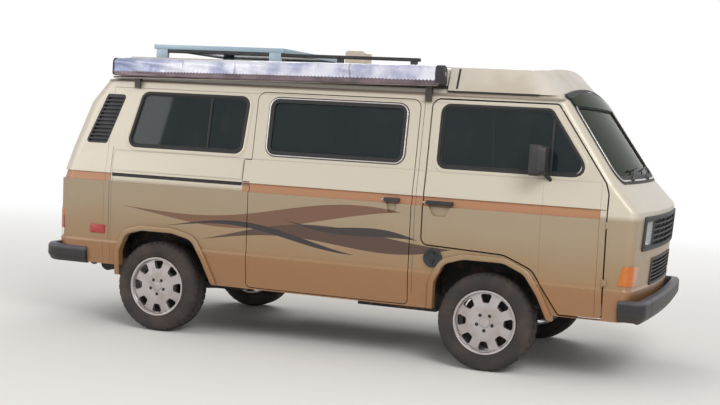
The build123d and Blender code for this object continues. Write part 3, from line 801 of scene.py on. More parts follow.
# Windows. Rings round a pane, from the outside in: part, outer edge, inner edge, rise, material
windowStyles = {
    "plain": [
        ("Rubber", 0.016, -0.003, 0.003, rubberSeal),
        ("Bead", -0.002, -0.014, -0.006, rubberSeal),
    ],
    "trimmed": [
        ("Rubber", 0.027, 0.021, 0.003, rubberSeal),
        ("Trim", 0.021, 0.012, 0.006, brightTrim),
        ("Bead", 0.012, -0.014, 0.002, rubberSeal),
    ],
    "screen": [
        ("Rubber", 0.036, 0.022, 0.006, rubberSeal),
        ("Trim", 0.022, 0.012, 0.010, brightTrim),
        ("Bead", 0.012, -0.016, 0.005, rubberSeal),
    ],
}
windowLook = {
    "seat": -0.011,
    "soft": 0.0018,
    "flange": (0.04, 0.0165),
    "flangeRise": 0.0032,
    "flangeSoft": 0.0028,
    "endCuts": spread(-0.7, 0.7, 21),
}

# Columns: name, outline, corner radii, surface, body, style
rearPane = [(-1.532, 1.341), (-1.443, 1.718), (-0.601, 1.718), (-0.625, 1.341)]
sliderPane = [(-0.41, 1.349), (-0.41, 1.715), (0.575, 1.715), (0.575, 1.349)]
doorPane = [(0.838, 1.333), (0.838, 1.735), (1.56, 1.735), (1.845, 1.333)]
screenPane = [(-0.752, 1.322), (0.752, 1.322), (0.7, 1.786), (-0.7, 1.786)]
tailPane = [(-0.655, 1.345), (0.655, 1.345), (0.618, 1.7), (-0.618, 1.7)]
panes = [
    ("rearRight", rearPane, 0.05, rightSide, "body", "plain"),
    ("rearLeft", rearPane, 0.05, leftSide, "body", "plain"),
    ("sliderRight", sliderPane, 0.05, rightSide, "body", "trimmed"),
    ("middleLeft", sliderPane, 0.05, leftSide, "body", "trimmed"),
    ("doorRight", doorPane, [0.05, 0.05, 0.04, 0.06], rightSide, "right_front_door", "plain"),
    ("doorLeft", doorPane, [0.05, 0.05, 0.04, 0.06], leftSide, "left_front_door", "plain"),
    ("windscreen", screenPane, 0.07, nose, "body", "screen"),
    ("tail", tailPane, 0.07, tail, "rear_hatch", "plain"),
]


def makeWindowFrames():
    look = windowLook
    for name, points, radius, surface, body, style in panes:
        atEnd = surface in (nose, tail)
        cuts = look["endCuts"] if atEnd else ()
        for ring, outside, inside, rise, material in windowStyles[style]:
            makeRing(name + ring, points, radius, outside, inside, look["seat"], rise, look["soft"], surface,
                     material, body, cuts)
        if style == "plain" and not atEnd:
            makeRing(name + "Flange", points, radius, *look["flange"], -0.001, look["flangeRise"],
                     look["flangeSoft"], surface, paint, body)
    for side, _, surface, door in bothSides:
        makeBar("quarterlightBar" + side, (1.58, -0.012, 1.336), (1.598, 0, 1.686), 0.003, rubberSeal,
                door, surface)
        makeBar("rearWindowBar" + side, (-0.902, -0.012, 1.344), (-0.884, -0.002, 1.715), 0.003, rubberSeal,
                "body", surface)


# Rolled lips round the wheel arches
archLook = {
    "front": [(-0.37, 0.25), (-0.355, 0.56), (-0.291, 0.69), (-0.156, 0.732), (0.114, 0.732), (0.254, 0.67),
              (0.344, 0.54), (0.474, 0.25)],
    "rear": [(-0.317, 0.25), (-0.308, 0.56), (-0.255, 0.69), (-0.125, 0.727), (0.125, 0.727), (0.285, 0.69),
             (0.365, 0.56), (0.505, 0.25)],
    "radii": [0.005, 0.09, 0.07, 0.13, 0.13, 0.09, 0.12, 0.005],
    "outside": 0.037,
    "inside": -0.002,
    "rise": 0.02,
    "soft": 0.009,
    "lowZ": 0.384,
}


def makeArchLips():
    look = archLook
    for place, (x, side) in wheelPlaces.items():
        points = [(x + across, height) for across, height in look["front" if x > 0 else "rear"]]
        bm = startFace(points, look["radii"], 10)
        cutRing(bm, look["outside"], look["inside"])
        everything = bm.verts[:] + bm.edges[:] + bm.faces[:]
        bmesh.ops.bisect_plane(bm, geom=everything, plane_co=(0, 0, look["lowZ"]), plane_no=(0, 0, 1),
                               clear_inner=True)
        thicken(bm, 0.001, look["rise"])
        softenEdges(bm, look["soft"], 3)
        wrapOnto(bm, rightSide if side < 0 else leftSide)
        finishPiece("archLip" + place, bm, paint, "body", 50)


# Wheels
wheelLook = {
    "tyreSteps": 120,
    "grooveDepth": 0.0045,
    "grooveEvery": 3,
    "shoulder": (0.0605, 0.094, 0.312),       # distance from the middle, and least radius
    "rib": (0.0245, 0.05, 0.322),
    "lipRadius": 0.2125,
    "boltCircle": 0.055,
    "boltCount": 5,
    "capRadius": 0.034,
}

# Half of the tyre's section: radius, distance from the middle
tyreSection = [
    (0.214, 0.084), (0.22, 0.093), (0.233, 0.0975), (0.236, 0.096), (0.24, 0.0985), (0.262, 0.1022),
    (0.283, 0.102), (0.298, 0.0985), (0.309, 0.092), (0.318, 0.082), (0.323, 0.072), (0.3246, 0.061),
    (0.3246, 0.059), (0.318, 0.058), (0.318, 0.051), (0.3248, 0.05), (0.325, 0.024), (0.318, 0.023),
    (0.318, 0.016), (0.325, 0.015), (0.325, 0.0),
]


def makeTyre(place, x, side):
    look = wheelLook
    steps = look["tyreSteps"]
    bm = bmesh.new()
    centre = Vector((x, side * halfTrack, axleHeight))
    section = tyreSection + [(radius, -along) for radius, along in reversed(tyreSection[:-1])]
    verts = [bm.verts.new(centre + Vector((0, along, radius))) for radius, along in section]
    edges = [bm.edges.new(pair) for pair in zip(verts, verts[1:])]
    spinRound(bm, verts + edges, centre, (0, 1, 0), steps)
    bmesh.ops.recalc_face_normals(bm, faces=bm.faces)

    # Every third shoulder and rib block is sunk, which leaves the tread's cross grooves
    grooves = []
    for face in bm.faces:
        away = face.calc_center_median() - centre
        step = round((math.atan2(away.z, away.x) / (2 * math.pi) * steps) - 0.5)
        for (near, far, low), shift in ((look["shoulder"], 0), (look["rib"], 1)):
            inside = near < abs(away.y) < far and math.hypot(away.x, away.z) > low
            if inside and (step + shift) % look["grooveEvery"] == 0:
                grooves.append(face)
    sunk = bmesh.ops.extrude_face_region(bm, geom=grooves)["geom"]
    bmesh.ops.delete(bm, geom=grooves, context="FACES_ONLY")
    for vert in vertsIn(sunk):
        away = vert.co - centre
        share = 1 - look["grooveDepth"] / math.hypot(away.x, away.z)
        vert.co = centre + Vector((away.x * share, away.y, away.z * share))
    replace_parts(finishPiece("tyre" + place, bm, rubber, "wheel_" + place, 40), "tyre_" + place)


def makeWheelDetails(place, x, side):
    body = "wheel_" + place
    centre = (x, side * halfTrack, axleHeight)
    axis = (0, side, 0)
    rim = finishPiece("rim" + place, startCopy("rim_" + place), alloy, body, 30)
    addBevel(rim, 0.0028, 2, 38)
    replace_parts(rim, "rim_" + place)

    lip, cap = wheelLook["lipRadius"], wheelLook["capRadius"]
    rounds = [
        ("rimLip", [(lip - 0.016, 0.084), (lip - 0.012, 0.0915), (lip, 0.0925), (lip, 0.0895),
                    (lip - 0.01, 0.0885), (lip - 0.016, 0.084)], brightTrim, 96),
        ("hubCap", [(0, 0.0838), (cap * 0.85, 0.0834), (cap * 0.97, 0.0822), (cap, 0.0808), (cap, 0.078),
                    (0, 0.078)], alloy, 40),
        ("hubCapRing", [(cap - 0.001, 0.0785), (cap - 0.001, 0.0806), (cap + 0.0016, 0.08),
                        (cap + 0.0016, 0.0785), (cap - 0.001, 0.0785)], rubberSeal, 40),
        ("brakeShield", [(0.04, -0.03), (0.176, -0.03), (0.181, -0.026), (0.176, -0.022), (0.04, -0.022),
                         (0.04, -0.03)], chassis, 48),
        ("brakeDrum", [(0.034, 0.028), (0.12, 0.028), (0.128, 0.022), (0.128, -0.045), (0.034, -0.045),
                       (0.034, 0.028)], castIron, 48),
    ]
    for name, profile, material, steps in rounds:
        makeLathe(name + place, profile, centre, axis, material, body, steps)
    count, reach = wheelLook["boltCount"], wheelLook["boltCircle"]
    # Dark discs over the bolt holes: painted shade in the recesses round the bolts
    shadedRecess = [(0, 0.0803), (0.0105, 0.0803), (0.0118, 0.0809), (0.0126, 0.08), (0.0126, 0.078), (0, 0.078)]
    for index in range(count):
        angle = 2 * math.pi * (index + 0.5) / count
        bolt = (x + reach * math.sin(angle), side * halfTrack, axleHeight + reach * math.cos(angle))
        makeLathe(f"boltRecessShade{place}{index}", shadedRecess, bolt, axis, rubberSeal, body, 16, 20)


def makeWheels():
    for place, (x, side) in wheelPlaces.items():
        makeTyre(place, x, side)
        makeWheelDetails(place, x, side)


# Door and slider handles with their locks. Columns: name, rear end, front end, side, body
handles = [
    ("doorHandleRight", 0.783, 0.967, -1, "right_front_door"),
    ("doorHandleLeft", 0.783, 0.967, 1, "left_front_door"),
    ("sliderHandle", 0.488, 0.592, -1, "body"),
]
handleLook = {
    "z": (1.074, 1.102),
    "y": (0.903, 0.9385),
    "soft": 0.0038,
    "lockZ": 1.088,
    "lock": [(0, 0), (0.007, 0), (0.009, -0.002), (0.0105, -0.007), (0, -0.007)],
}


def makeHandles():
    look = handleLook
    low, high = look["z"]
    for name, rear, front, side, body in handles:
        near, far = sorted(side * y for y in look["y"])
        makeBar(name, (rear, near, low), (front, far, high), look["soft"], blackPlastic, body)
        lock = (rear - 0.022, side * (sideAt(look["lockZ"]) - 0.0105), look["lockZ"])
        makeLathe(name + "Lock", look["lock"], lock, (0, side, 0), brightTrim, body, 20)


# Side marker lenses, the shaded groove of the sliding door's track, and the fuel cap
sideLook = {
    "marker": box(-1.805, 0.679, -1.682, 0.743),
    "capX": 0.847,
    "capZ": 0.725,
    "capRadius": 0.062,
}


def makeSideDetails():
    look = sideLook
    for side, _, surface, _ in bothSides:
        makePlate("sideMarker" + side, look["marker"], 0.009, -0.001, 0.0075, 0.0025, surface, signalLens)
    makeBar("trackShade", (-1.643, -0.028, 1.1065), (-0.603, -0.01, 1.1305), 0.002, rubberSeal, "body",
            rightSide)

    x, z, radius = look["capX"], look["capZ"], look["capRadius"]
    y = -sideAt(z) - 0.012
    profile = [(0, 0.0035), (radius * 0.22, 0.0035), (radius * 0.3, 0.001), (radius * 0.62, 0.001),
               (radius * 0.7, 0.004), (radius * 0.94, 0.004), (radius + 0.0015, 0.001),
               (radius + 0.0015, -0.011), (0, -0.011)]
    makeLathe("fuelCapFace", profile, (x, y, z), (0, -1, 0), blackPlastic, "body", 64)
    makeBar("fuelCapGrip", (x - 0.0075, y - 0.012, z - 0.036), (x + 0.0075, y, z + 0.036), 0.003,
            blackPlastic)


# Headlamps: reflector, bulb, ribbed lens and bezel in each lamp bay
headlamp = {
    "y": (0.508, 0.712),
    "z": (0.898, 1.06),
    "corner": 0.012,
    "lensCorner": 0.01,
    "bowlDepth": 0.055,
    "bulbDepth": 0.046,
    "reflector": [(0.012, -0.004), (0.03, 0.003), (0.048, 0.014), (0.06, 0.028), (0.063, 0.028),
                  (0.051, 0.011), (0.032, -0.001), (0.012, -0.007), (0.012, -0.004)],
    "bulb": [(0, 0.03), (0.006, 0.028), (0.008, 0.022), (0.008, 0.004), (0.014, 0.002), (0.014, -0.006),
             (0, -0.006)],
}


def makeHeadlamps():
    look = headlamp
    (near, far), (low, high) = look["y"], look["z"]

    def outline(side, margin=0.0):
        return box(side * (near + margin), low + margin, side * (far - margin), high - margin)

    for name, side, *_ in bothSides:
        cuts = [side * across for across in spread(near, far, 7)]
        makeRing("lampBezel" + name, outline(side), look["corner"], 0.01, -0.003, -0.02, 0.011, 0.0025, nose,
                 blackPlastic, "body", cuts)
        lens = makePlate("lampLens" + name, outline(side, 0.0025), look["lensCorner"], -0.005, 0.001, 0.0018,
                         nose, lampGlass, "body", cuts)
        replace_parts(lens, "headlamps")

        bm = startFace(outline(side, 0.004), look["lensCorner"])
        walls = inset(bm, 0.022)
        for vert in {vert for face in bm.faces if face not in walls for vert in face.verts}:
            vert.co.y = -look["bowlDepth"]
        for face in walls:
            for vert in face.verts:
                vert.co.y = min(vert.co.y, -0.008)
        bmesh.ops.solidify(bm, geom=bm.faces[:], thickness=0.002)
        wrapOnto(bm, nose)
        finishPiece("lampBowl" + name, bm, chrome)

        centre = nose(side * (near + far) / 2, -look["bulbDepth"], (low + high) / 2)
        makeLathe("lampReflector" + name, look["reflector"], centre, (1, 0, 0), chrome)
        makeLathe("lampBulb" + name, look["bulb"], centre, (1, 0, 0), frostedGlass, "body", 24)


# Grilles: moulded frames round both, and ribs across the upper one
grilleLook = {
    "upper": box(-0.742, 0.876, 0.742, 1.082),
    "lower": box(-0.42, 0.628, 0.42, 0.8),
    "corner": 0.014,
    "ribs": (-0.3, -0.1, 0.1, 0.3),
    "cuts": spread(-0.75, 0.75, 27),
}


def makeGrilleFrames():
    look = grilleLook
    makeRing("upperGrilleFrame", look["upper"], look["corner"], 0.008, -0.012, -0.004, 0.011, 0.003, nose,
             blackPlastic, "body", look["cuts"])
    makeRing("lowerGrilleFrame", look["lower"], look["corner"], 0.006, -0.01, -0.004, 0.009, 0.003, nose,
             blackPlastic, "body", look["cuts"])
    for index, across in enumerate(look["ribs"]):
        makeBar(f"grilleRib{index}", (across - 0.003, -0.01, 0.892), (across + 0.003, 0.004, 1.066), 0.001,
                blackPlastic, "body", nose)


# Wipers: pivot, arm and blade, lying on the glass
wiperLook = {
    "pivotZ": 1.306,
    "pivots": (-0.46, 0.1),
    "bladeLength": 0.44,
    "bladeZ": 1.372,
    "frontPivot": [(0, 0.02), (0.01, 0.018), (0.013, 0.012), (0.013, -0.004), (0, -0.004)],
    "rearPivot": [(0, 0.02), (0.012, 0.018), (0.015, 0.012), (0.015, -0.004), (0, -0.004)],
    "arm": (0.01, 0.017, 0.006, blackPlastic),
    "blade": (-0.009, 0.01, 0.0035, rubberSeal),
}


def makeWipers():
    look = wiperLook
    low, high = look["pivotZ"], look["bladeZ"]
    for index, pivot in enumerate(look["pivots"]):
        far = pivot + look["bladeLength"]
        makeLathe(f"wiperPivot{index}", look["frontPivot"], nose(pivot, 0, low), (1, 0, 0.7), blackPlastic,
                  "body", 20)
        makeStrip(f"wiperArm{index}", (pivot, low), ((pivot + 0.12 + far) / 2, high - 0.002), *look["arm"],
                  "body", nose)
        makeStrip(f"wiperBlade{index}", (pivot + 0.06, high - 0.004), (far, high + 0.01), *look["blade"],
                  "body", nose)
    makeLathe("rearWiperPivot", look["rearPivot"], tail(0, 0, 1.315), (-1, 0, 0.35), blackPlastic,
              "rear_hatch", 20)
    makeStrip("rearWiperArm", (0, 1.315), (-0.22, 1.385), *look["arm"], "rear_hatch", tail)
    makeStrip("rearWiperBlade", (-0.02, 1.388), (-0.42, 1.396), *look["blade"], "rear_hatch", tail)


# Door mirrors: glass set in the housing's rearward face
mirrorLook = {
    "rearX": 1.492,
    "corner": 0.018,
    "outline": box(0.908, 1.326, 1.06, 1.504),
}


def makeMirrorGlass():
    shape = mirrorLook["outline"], mirrorLook["corner"]
    for name, sign, _, door in bothSides:
        def behind(across, stand, height, sign=sign):
            return Vector((mirrorLook["rearX"] - stand, sign * across, height))
        makePlate("mirrorGlass" + name, *shape, -0.004, 0.0012, 0.0006, behind, chrome, door)
        makeRing("mirrorRim" + name, *shape, 0.006, -0.001, -0.003, 0.0035, 0.0012, behind,
                 blackPlastic, door)


# Bumpers: a moulded section carried round each end, with separate end caps and irons behind
bumperLook = {
    "front": {
        "face": 2.285, "bow": 12.0, "corner": 0.08, "end": 2.08, "low": 0.424, "high": 0.562,
        "iron": (2.12, 2.24), "sign": 1,
    },
    "rear": {
        "face": 2.2845, "bow": 6.0, "corner": 0.17, "end": 1.832, "low": 0.446, "high": 0.57,
        "iron": (-2.24, -2.06), "sign": -1,
    },
    "half": 0.9245,
    "cap": 0.69,                 # the end caps start here
    "thick": 0.056,
    "tuck": 0.026,                # how far the lower face is drawn in
    "gap": 0.0022,
    "soft": 0.004,
    "ironY": (0.38, 0.43),
    "ironZ": (0.47, 0.52),
}


def alongBumper(shape, stand, run, height):
    half, corner, bow = bumperLook["half"], shape["corner"], shape["bow"]
    lean = (half - corner) / bow
    flat = half - corner * (1 - math.sin(lean))
    edge = shape["face"] - flat ** 2 / (2 * bow)
    reach = abs(run)
    turned = lean + (reach - flat) / corner
    if reach < flat:
        turned = reach / bow
        x, y = shape["face"] - reach ** 2 / (2 * bow), reach
    elif turned < math.pi / 2:
        x = edge + corner * (math.cos(turned) - math.cos(lean))
        y = half - corner + corner * math.sin(turned)
    else:
        x = edge - corner * math.cos(lean) - corner * (turned - math.pi / 2)
        y = half
        turned = math.pi / 2
    x += stand * math.cos(turned)
    y += stand * math.sin(turned)
    return Vector((shape["sign"] * x, math.copysign(y, run), height))


def makeBumperPart(name, shape, start, end, count):
    low, high, thick, tuck = shape["low"], shape["high"], bumperLook["thick"], bumperLook["tuck"]
    section = [(-thick, low), (-tuck, low), (0, low + 0.042), (0, high - 0.016), (-0.014, high),
               (-thick, high)]
    bm = startFace(section, [0.003, 0.012, 0.014, 0.01, 0.01, 0.003], 4)
    extrudeAlong(bm, end - start)
    bmesh.ops.translate(bm, vec=(0, start, 0), verts=bm.verts)
    softenEdges(bm, bumperLook["soft"])
    sliceAcross(bm, spread(start, end, count)[1:-1], axis=1)
    for vert in bm.verts:
        vert.co = alongBumper(shape, *vert.co)
    return finishPiece(name, bm, bumperPlastic, "body", 40)


def makeBumpers():
    look = bumperLook
    split = look["cap"]
    lowZ, highZ = look["ironZ"]
    for end in ("front", "rear"):
        shape = look[end]
        near, far = shape["iron"]
        tip = look["half"]
        while shape["sign"] * alongBumper(shape, 0, tip, 0).x > shape["end"]:
            tip += 0.001
        middle = makeBumperPart(end + "Bumper", shape, -split, split, 46)
        if end == "front":
            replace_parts(middle, "bumpers")
        for name, side, *_ in bothSides:
            start, stop = sorted((side * (split + look["gap"]), side * tip))
            makeBumperPart(f"{end}BumperCap{name}", shape, start, stop, 44)
            inner, outer = sorted(side * edge for edge in look["ironY"])
            makeBar(f"{end}Iron{name}", (near, inner, lowZ), (far, outer, highZ), 0.002, chassis)


# Solar panel: silver frame, cells, end mounts, and the rails that run on ahead of it
solarLook = {
    "x": (-1.54, -0.475),
    "half": 0.56,
    "lowZ": 2.062,
    "frameHigh": 0.034,
    "frameWide": 0.02,
    "mountX": (-1.52, -0.59),
    "mountLong": 0.095,
    "mountZ": (1.984, 2.063),
    "railY": (0.528, 0.558),
    "railX": (-1.5, 0.56),
    "railZ": (2.036, 2.06),
    "postX": (-0.06, 0.49),
    "postLong": 0.05,
}


def makeSolarPanel():
    look = solarLook
    (rear, front), half, wide = look["x"], look["half"], look["frameWide"]
    low, high = look["lowZ"], look["lowZ"] + look["frameHigh"]
    lid = "roof_lid"

    def onPanel(across, stand, height):
        return Vector((across, height, look["lowZ"] + stand))

    border = makeBar("solarFrameRear", (rear, -half, low), (rear + wide, half, high), 0.002, anodised, lid)
    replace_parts(border, "solar_panels")
    makeBar("solarFrameFront", (front - wide, -half, low), (front, half, high), 0.002, anodised, lid)
    edge = half - wide + 0.002
    cells = box(rear + wide - 0.002, -edge, front - wide + 0.002, edge)
    makePlate("solarGlass", cells, 0.003, 0.004, look["frameHigh"] - 0.0035, 0.001, onPanel, solarCells, lid)
    for name, side, *_ in bothSides:
        y = -half if side < 0 else half - wide
        makeBar("solarFrame" + name, (rear + wide - 0.003, y + 0.0002, low + 0.0002),
                (front - wide + 0.003, y + wide - 0.0002, high - 0.0002), 0.002, anodised, lid)
        near, far = sorted(side * edge for edge in look["railY"])
        (railRear, railFront), (railLow, railHigh), (foot, top) = look["railX"], look["railZ"], look["mountZ"]
        makeBar("solarRail" + name, (railRear, near, railLow), (railFront, far, railHigh), 0.004,
                blackPlastic, lid)
        for index, x in enumerate(look["mountX"]):
            makeBar(f"solarMount{name}{index}", (x, near - 0.004 * (side < 0), foot),
                    (x + look["mountLong"], far + 0.004 * (side > 0), top), 0.006, anodised, lid)
        for index, x in enumerate(look["postX"]):
            makeBar(f"solarPost{name}{index}", (x, near + 0.004, foot),
                    (x + look["postLong"], far - 0.004, railLow + 0.004), 0.004, blackPlastic, lid)


# Luggage tray: crowned rim and arched foot, with the dark seal that fills the arch
trayLook = {
    "footZ": 1.836,
    "rimZ": 1.996,
    "frontX": 1.704,
    "frontLean": 0.975,           # rearward for each metre up
    "frontBand": 0.03,            # what lies this near the front face leans with it
    "sideY": 0.792,
    "sideLean": 0.4375,
    "bow": 3.2,
    "crown": 0.04,
    "crownHalf": 0.72,
    "crownX": 0.838,
    "crownZ": 1.86,
    "arch": 0.056,
    "archHalf": 0.72,
    "screenX": 1.706,
    "screenZ": 1.804,
    "screenLean": 0.72,
}


def trayFront(across, stand, height):
    look = trayLook
    x = look["frontX"] - look["frontLean"] * (height - look["footZ"]) - across ** 2 / (2 * look["bow"])
    return Vector((x + stand, across, height))


def traySide(across, stand, height):
    look = trayLook
    return Vector((across, -look["sideY"] + look["sideLean"] * (height - look["footZ"]) - stand, height))


def trayArch(across):
    return trayLook["arch"] * max(1 - (across / trayLook["archHalf"]) ** 2, 0)


# The screen's shaded top edge and the seal both follow the arch
def overScreen(across, stand, height):
    look = trayLook
    lifted = height + trayArch(across) * min(max((height - 1.775) / 0.05, 0), 1)
    x = look["screenX"] - look["screenLean"] * (lifted - look["screenZ"]) - across ** 2 / (2 * endBow)
    return Vector((x + stand, across, lifted))


def underTray(across, stand, height):
    lifted = height + trayArch(across)
    x = max(trayFront(across, -0.007, lifted).x, overScreen(across, 0.006, height).x)
    return Vector((x + stand, across, lifted))


def makeTray():
    look = trayLook
    bm = startCopy("luggage_tray")
    sliceAcross(bm, spread(-0.69, 0.69, 33), axis=1)
    sliceAcross(bm, spread(0.95, 1.45, 6), axis=0)
    for vert in bm.verts:
        x, y, z = vert.co
        share = (z - look["footZ"]) / (look["rimZ"] - look["footZ"])
        crown = look["crown"] * max(1 - (y / look["crownHalf"]) ** 2, 0)
        crown *= min(max((x - look["crownX"]) / 0.5, 0.25), 1)
        lift = crown * share if z > look["crownZ"] else 0.0
        atFront = trayFront(y, 0, z).x - x < look["frontBand"]
        if z < look["crownZ"] and atFront:
            lift = trayArch(y)
        vert.co.z += lift
        if atFront:
            vert.co.x -= look["frontLean"] * lift
    tray = finishPiece("tray", bm, gelcoat, "body", 30)
    addBevel(tray, 0.005, 3, 50)
    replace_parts(tray, "luggage_tray")

    makeBar("screenShade", (-0.735, -0.024, 1.777), (0.735, 0.014, 1.829), 0.002, shadeGlass, "body",
            overScreen, spread(-0.735, 0.735, 43)[1:-1])
    makeBar("traySeal", (-0.75, -0.014, 1.824), (0.75, 0, 1.852), 0.003, rubberSeal, "body", underTray,
            spread(-0.75, 0.75, 44)[1:-1])
    makeBar("trayFoot", (0.846, -0.001, 1.8385), (1.47, 0.0042, 1.85), 0.0018, gelcoat, "body", traySide)
    # Dark strip below the tray's foot: painted shadow in the gap between the tray and the gutter
    makeBar("trayFootShadow", (0.846, -0.002, 1.829), (1.47, 0.002, 1.8372), 0.0015, rubberSeal, "body",
            traySide)
    makeBar("trayStrap", (0.9, -0.001, 1.852), (0.914, 0.0026, 1.988), 0.001, strapWebbing, "body", traySide)


# Lid: rubber band round its foot
lidLook = {
    "foot": box(-1.765, -0.745, 0.825, 0.745),
    "corner": 0.012,
    "lowZ": 1.8568,
    "highZ": 1.87,
}


def makeLidSeal():
    look = lidLook

    def aroundLid(across, stand, height):
        return Vector((across, height, look["lowZ"] + stand))

    makeRing("lidSeal", look["foot"], look["corner"], 0.0045, -0.006, 0.0, look["highZ"] - look["lowZ"],
             0.002, aroundLid, rubberSeal, "roof_lid")


# Awning bag: a sagging vinyl sleeve with a hem, a strap and end caps
awning = {
    "rearX": -1.69,
    "frontX": 0.836,
    "y": -0.834,
    "z": 1.907,
    "tilt": 0.6,                 # degrees, nose up
    "halfWidth": 0.062,
    "halfHeight": 0.069,
    "corners": [0.018, 0.018, 0.044, 0.044],
    "wrinkle": 0.0056,
    "wrinkleLean": 0.62,
    "rings": 230,
    "sag": 0.004,
    "strapX": 0.806,
    "strapHalf": 0.022,
}


def alongAwning(across, along, up):      # along from the sleeve's rear end
    rise = math.tan(math.radians(awning["tilt"])) * along
    return Vector((awning["rearX"] + along, awning["y"] + across, awning["z"] + up + rise))


def awningWrinkle(along, y, z):
    lean = along * 9 + z * 60 * awning["wrinkleLean"] + y * 14
    soft = noiseTools.noise(Vector((along * 2.2, z * 9, y * 9)))
    fine = noiseTools.noise(Vector((lean * 0.62, z * 16, y * 16)))
    ridge = 1 - abs(math.sin(lean + 2.5 * soft))
    return awning["wrinkle"] * (0.9 * soft + 0.8 * fine - 1.1 * ridge ** 3 * (0.55 + 0.6 * soft))


def makeAwningBag():
    look = awning
    half, high = look["halfWidth"], look["halfHeight"]
    strap = look["strapX"] - look["rearX"]
    section = box(-half, -high, half, high)
    bm = startFace(section, look["corners"], 7)
    length = look["frontX"] - look["rearX"] - 0.012
    extrudeAlong(bm, length)
    lengthwise = [edge for edge in bm.edges if edge.calc_length() > 1]
    bmesh.ops.subdivide_edges(bm, edges=lengthwise, cuts=look["rings"])
    wide = [edge for edge in bm.edges if abs(edge.verts[0].co.y - edge.verts[1].co.y) < 1e-4
            and edge.calc_length() > 0.03 and 0.001 < edge.verts[0].co.y < length - 0.001]
    bmesh.ops.subdivide_edges(bm, edges=wide, cuts=4)
    for vert in bm.verts:
        across, along, up = vert.co
        reach = max(math.hypot(across, up), 1e-5)
        tuck = 0.01 * math.exp(-min(along, length - along) / 0.012)
        pinch = 0.0035 * math.exp(-((along - strap) / 0.016) ** 2)
        bulge = awningWrinkle(along, across, up) - 0.004 - tuck - pinch
        across += bulge * across / reach
        up += bulge * up / reach
        up -= look["sag"] * math.sin(math.pi * along / length) * (0.5 - up / (2 * high))
        vert.co = alongAwning(across, along + 0.006, up)
    bag = finishPiece("awningSleeve", bm, vinyl, "body", 60)
    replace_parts(bag, "awning_bag")

    bm = startFace(section, look["corners"], 7)
    keepRim(bm, 0.003)
    thicken(bm, -look["strapHalf"], look["strapHalf"])
    for vert in bm.verts:
        across, along, up = vert.co
        vert.co = alongAwning(across * 0.985, strap + along, up * 0.985)
    finishPiece("awningStrap0", bm, strapWebbing)

    capShape = box(-half + 0.006, -high + 0.006, half - 0.006, high - 0.006)
    for name, start, end in (("Rear", 0.001, 0.016), ("Front", length - 0.004, length + 0.01)):
        makePlate("awningCap" + name, capShape, [0.016, 0.016, 0.038, 0.038], start, end, 0.003, alongAwning,
                  blackPlastic)

    # Pull ring at the front cap
    bm = bmesh.new()
    circle = bmesh.ops.create_circle(bm, radius=0.0022, segments=10)["verts"]
    turn(bm, 90, "X")
    bmesh.ops.translate(bm, vec=(0.013, 0, 0), verts=circle)
    spinRound(bm, bm.verts[:] + bm.edges[:], (0, 0, 0), (0, 0, 1), 32)
    turn(bm, 90, "X")
    turn(bm, 90, "Z")
    pull = alongAwning(0.014, length + 0.011, 0.01) - Vector((0.001, 0, 0))
    bmesh.ops.translate(bm, vec=pull, verts=bm.verts)
    finishPiece("awningPull", bm, chrome)


def makeAwningHem():
    look = awning
    length = look["frontX"] - look["rearX"] - 0.05
    bm = startBlock((length, 0.006, 0.016))
    sliceAcross(bm, spread(-length / 2, length / 2, 60)[1:-1])
    softenEdges(bm, 0.0022)
    for vert in bm.verts:
        x, y, z = vert.co
        ripple = 0.0012 * math.sin(x * 70)
        vert.co = alongAwning(-look["halfWidth"] + 0.004 + y + ripple, x + length / 2 + 0.025,
                              -look["halfHeight"] + 0.01 + z)
    finishPiece("awningHem", bm, vinyl)


# Bellows: pleated canvas between the roof and the lid
bellowsLook = {
    "rearX": -1.69,
    "frontX": 0.75,
    "halfWidth": 0.69,
    "corner": 0.06,
    "lowZ": 1.8508,
    "highZ": 1.8905,
    "pleats": 11,
    "pleatDepth": 0.03,
}


def makeBellows():
    look = bellowsLook
    rear, front, half = look["rearX"], look["frontX"], look["halfWidth"]
    bm = startFace(box(rear, -half, front, half), look["corner"])
    bmesh.ops.delete(bm, geom=bm.faces[:], context="FACES_ONLY")
    bmesh.ops.subdivide_edges(bm, edges=[edge for edge in bm.edges if edge.calc_length() > 0.5], cuts=24)
    loop = bm.edges[:]
    middle = (rear + front) / 2
    steps = 2 * look["pleats"]
    for step in range(steps):
        grown = bmesh.ops.extrude_edge_only(bm, edges=loop)["geom"]
        loop = [part for part in grown if isinstance(part, bmesh.types.BMEdge)]
        sign = 1 if step % 2 else -1
        for vert in vertsIn(grown):
            away = Vector((vert.co.x - middle, vert.co.z))
            inner = Vector((front - middle - 0.3, half - 0.3))
            pull = Vector((max(abs(away.x) - inner.x, 0), max(abs(away.y) - inner.y, 0)))
            pull = pull.normalized() * look["pleatDepth"]
            vert.co.x += sign * math.copysign(pull.x, away.x)
            vert.co.z += sign * math.copysign(pull.y, away.y)
            vert.co.y += (look["highZ"] - look["lowZ"]) / steps
    for vert in bm.verts:
        vert.co = Vector((vert.co.x, vert.co.z, look["lowZ"] + vert.co.y))
    piece = finishPiece("canvasBellows", bm, canvas, None, 180)
    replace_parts(piece, "bellows")
    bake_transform(piece)


# Cushions: crowned pads with drawn-in sides and sewn channels
cushionLook = {
    "corner": 0.05,
    "channelDepth": 0.012,
    "channelWidth": 0.01,
    "drawnIn": 0.035,
    "fill": 0.6,
}


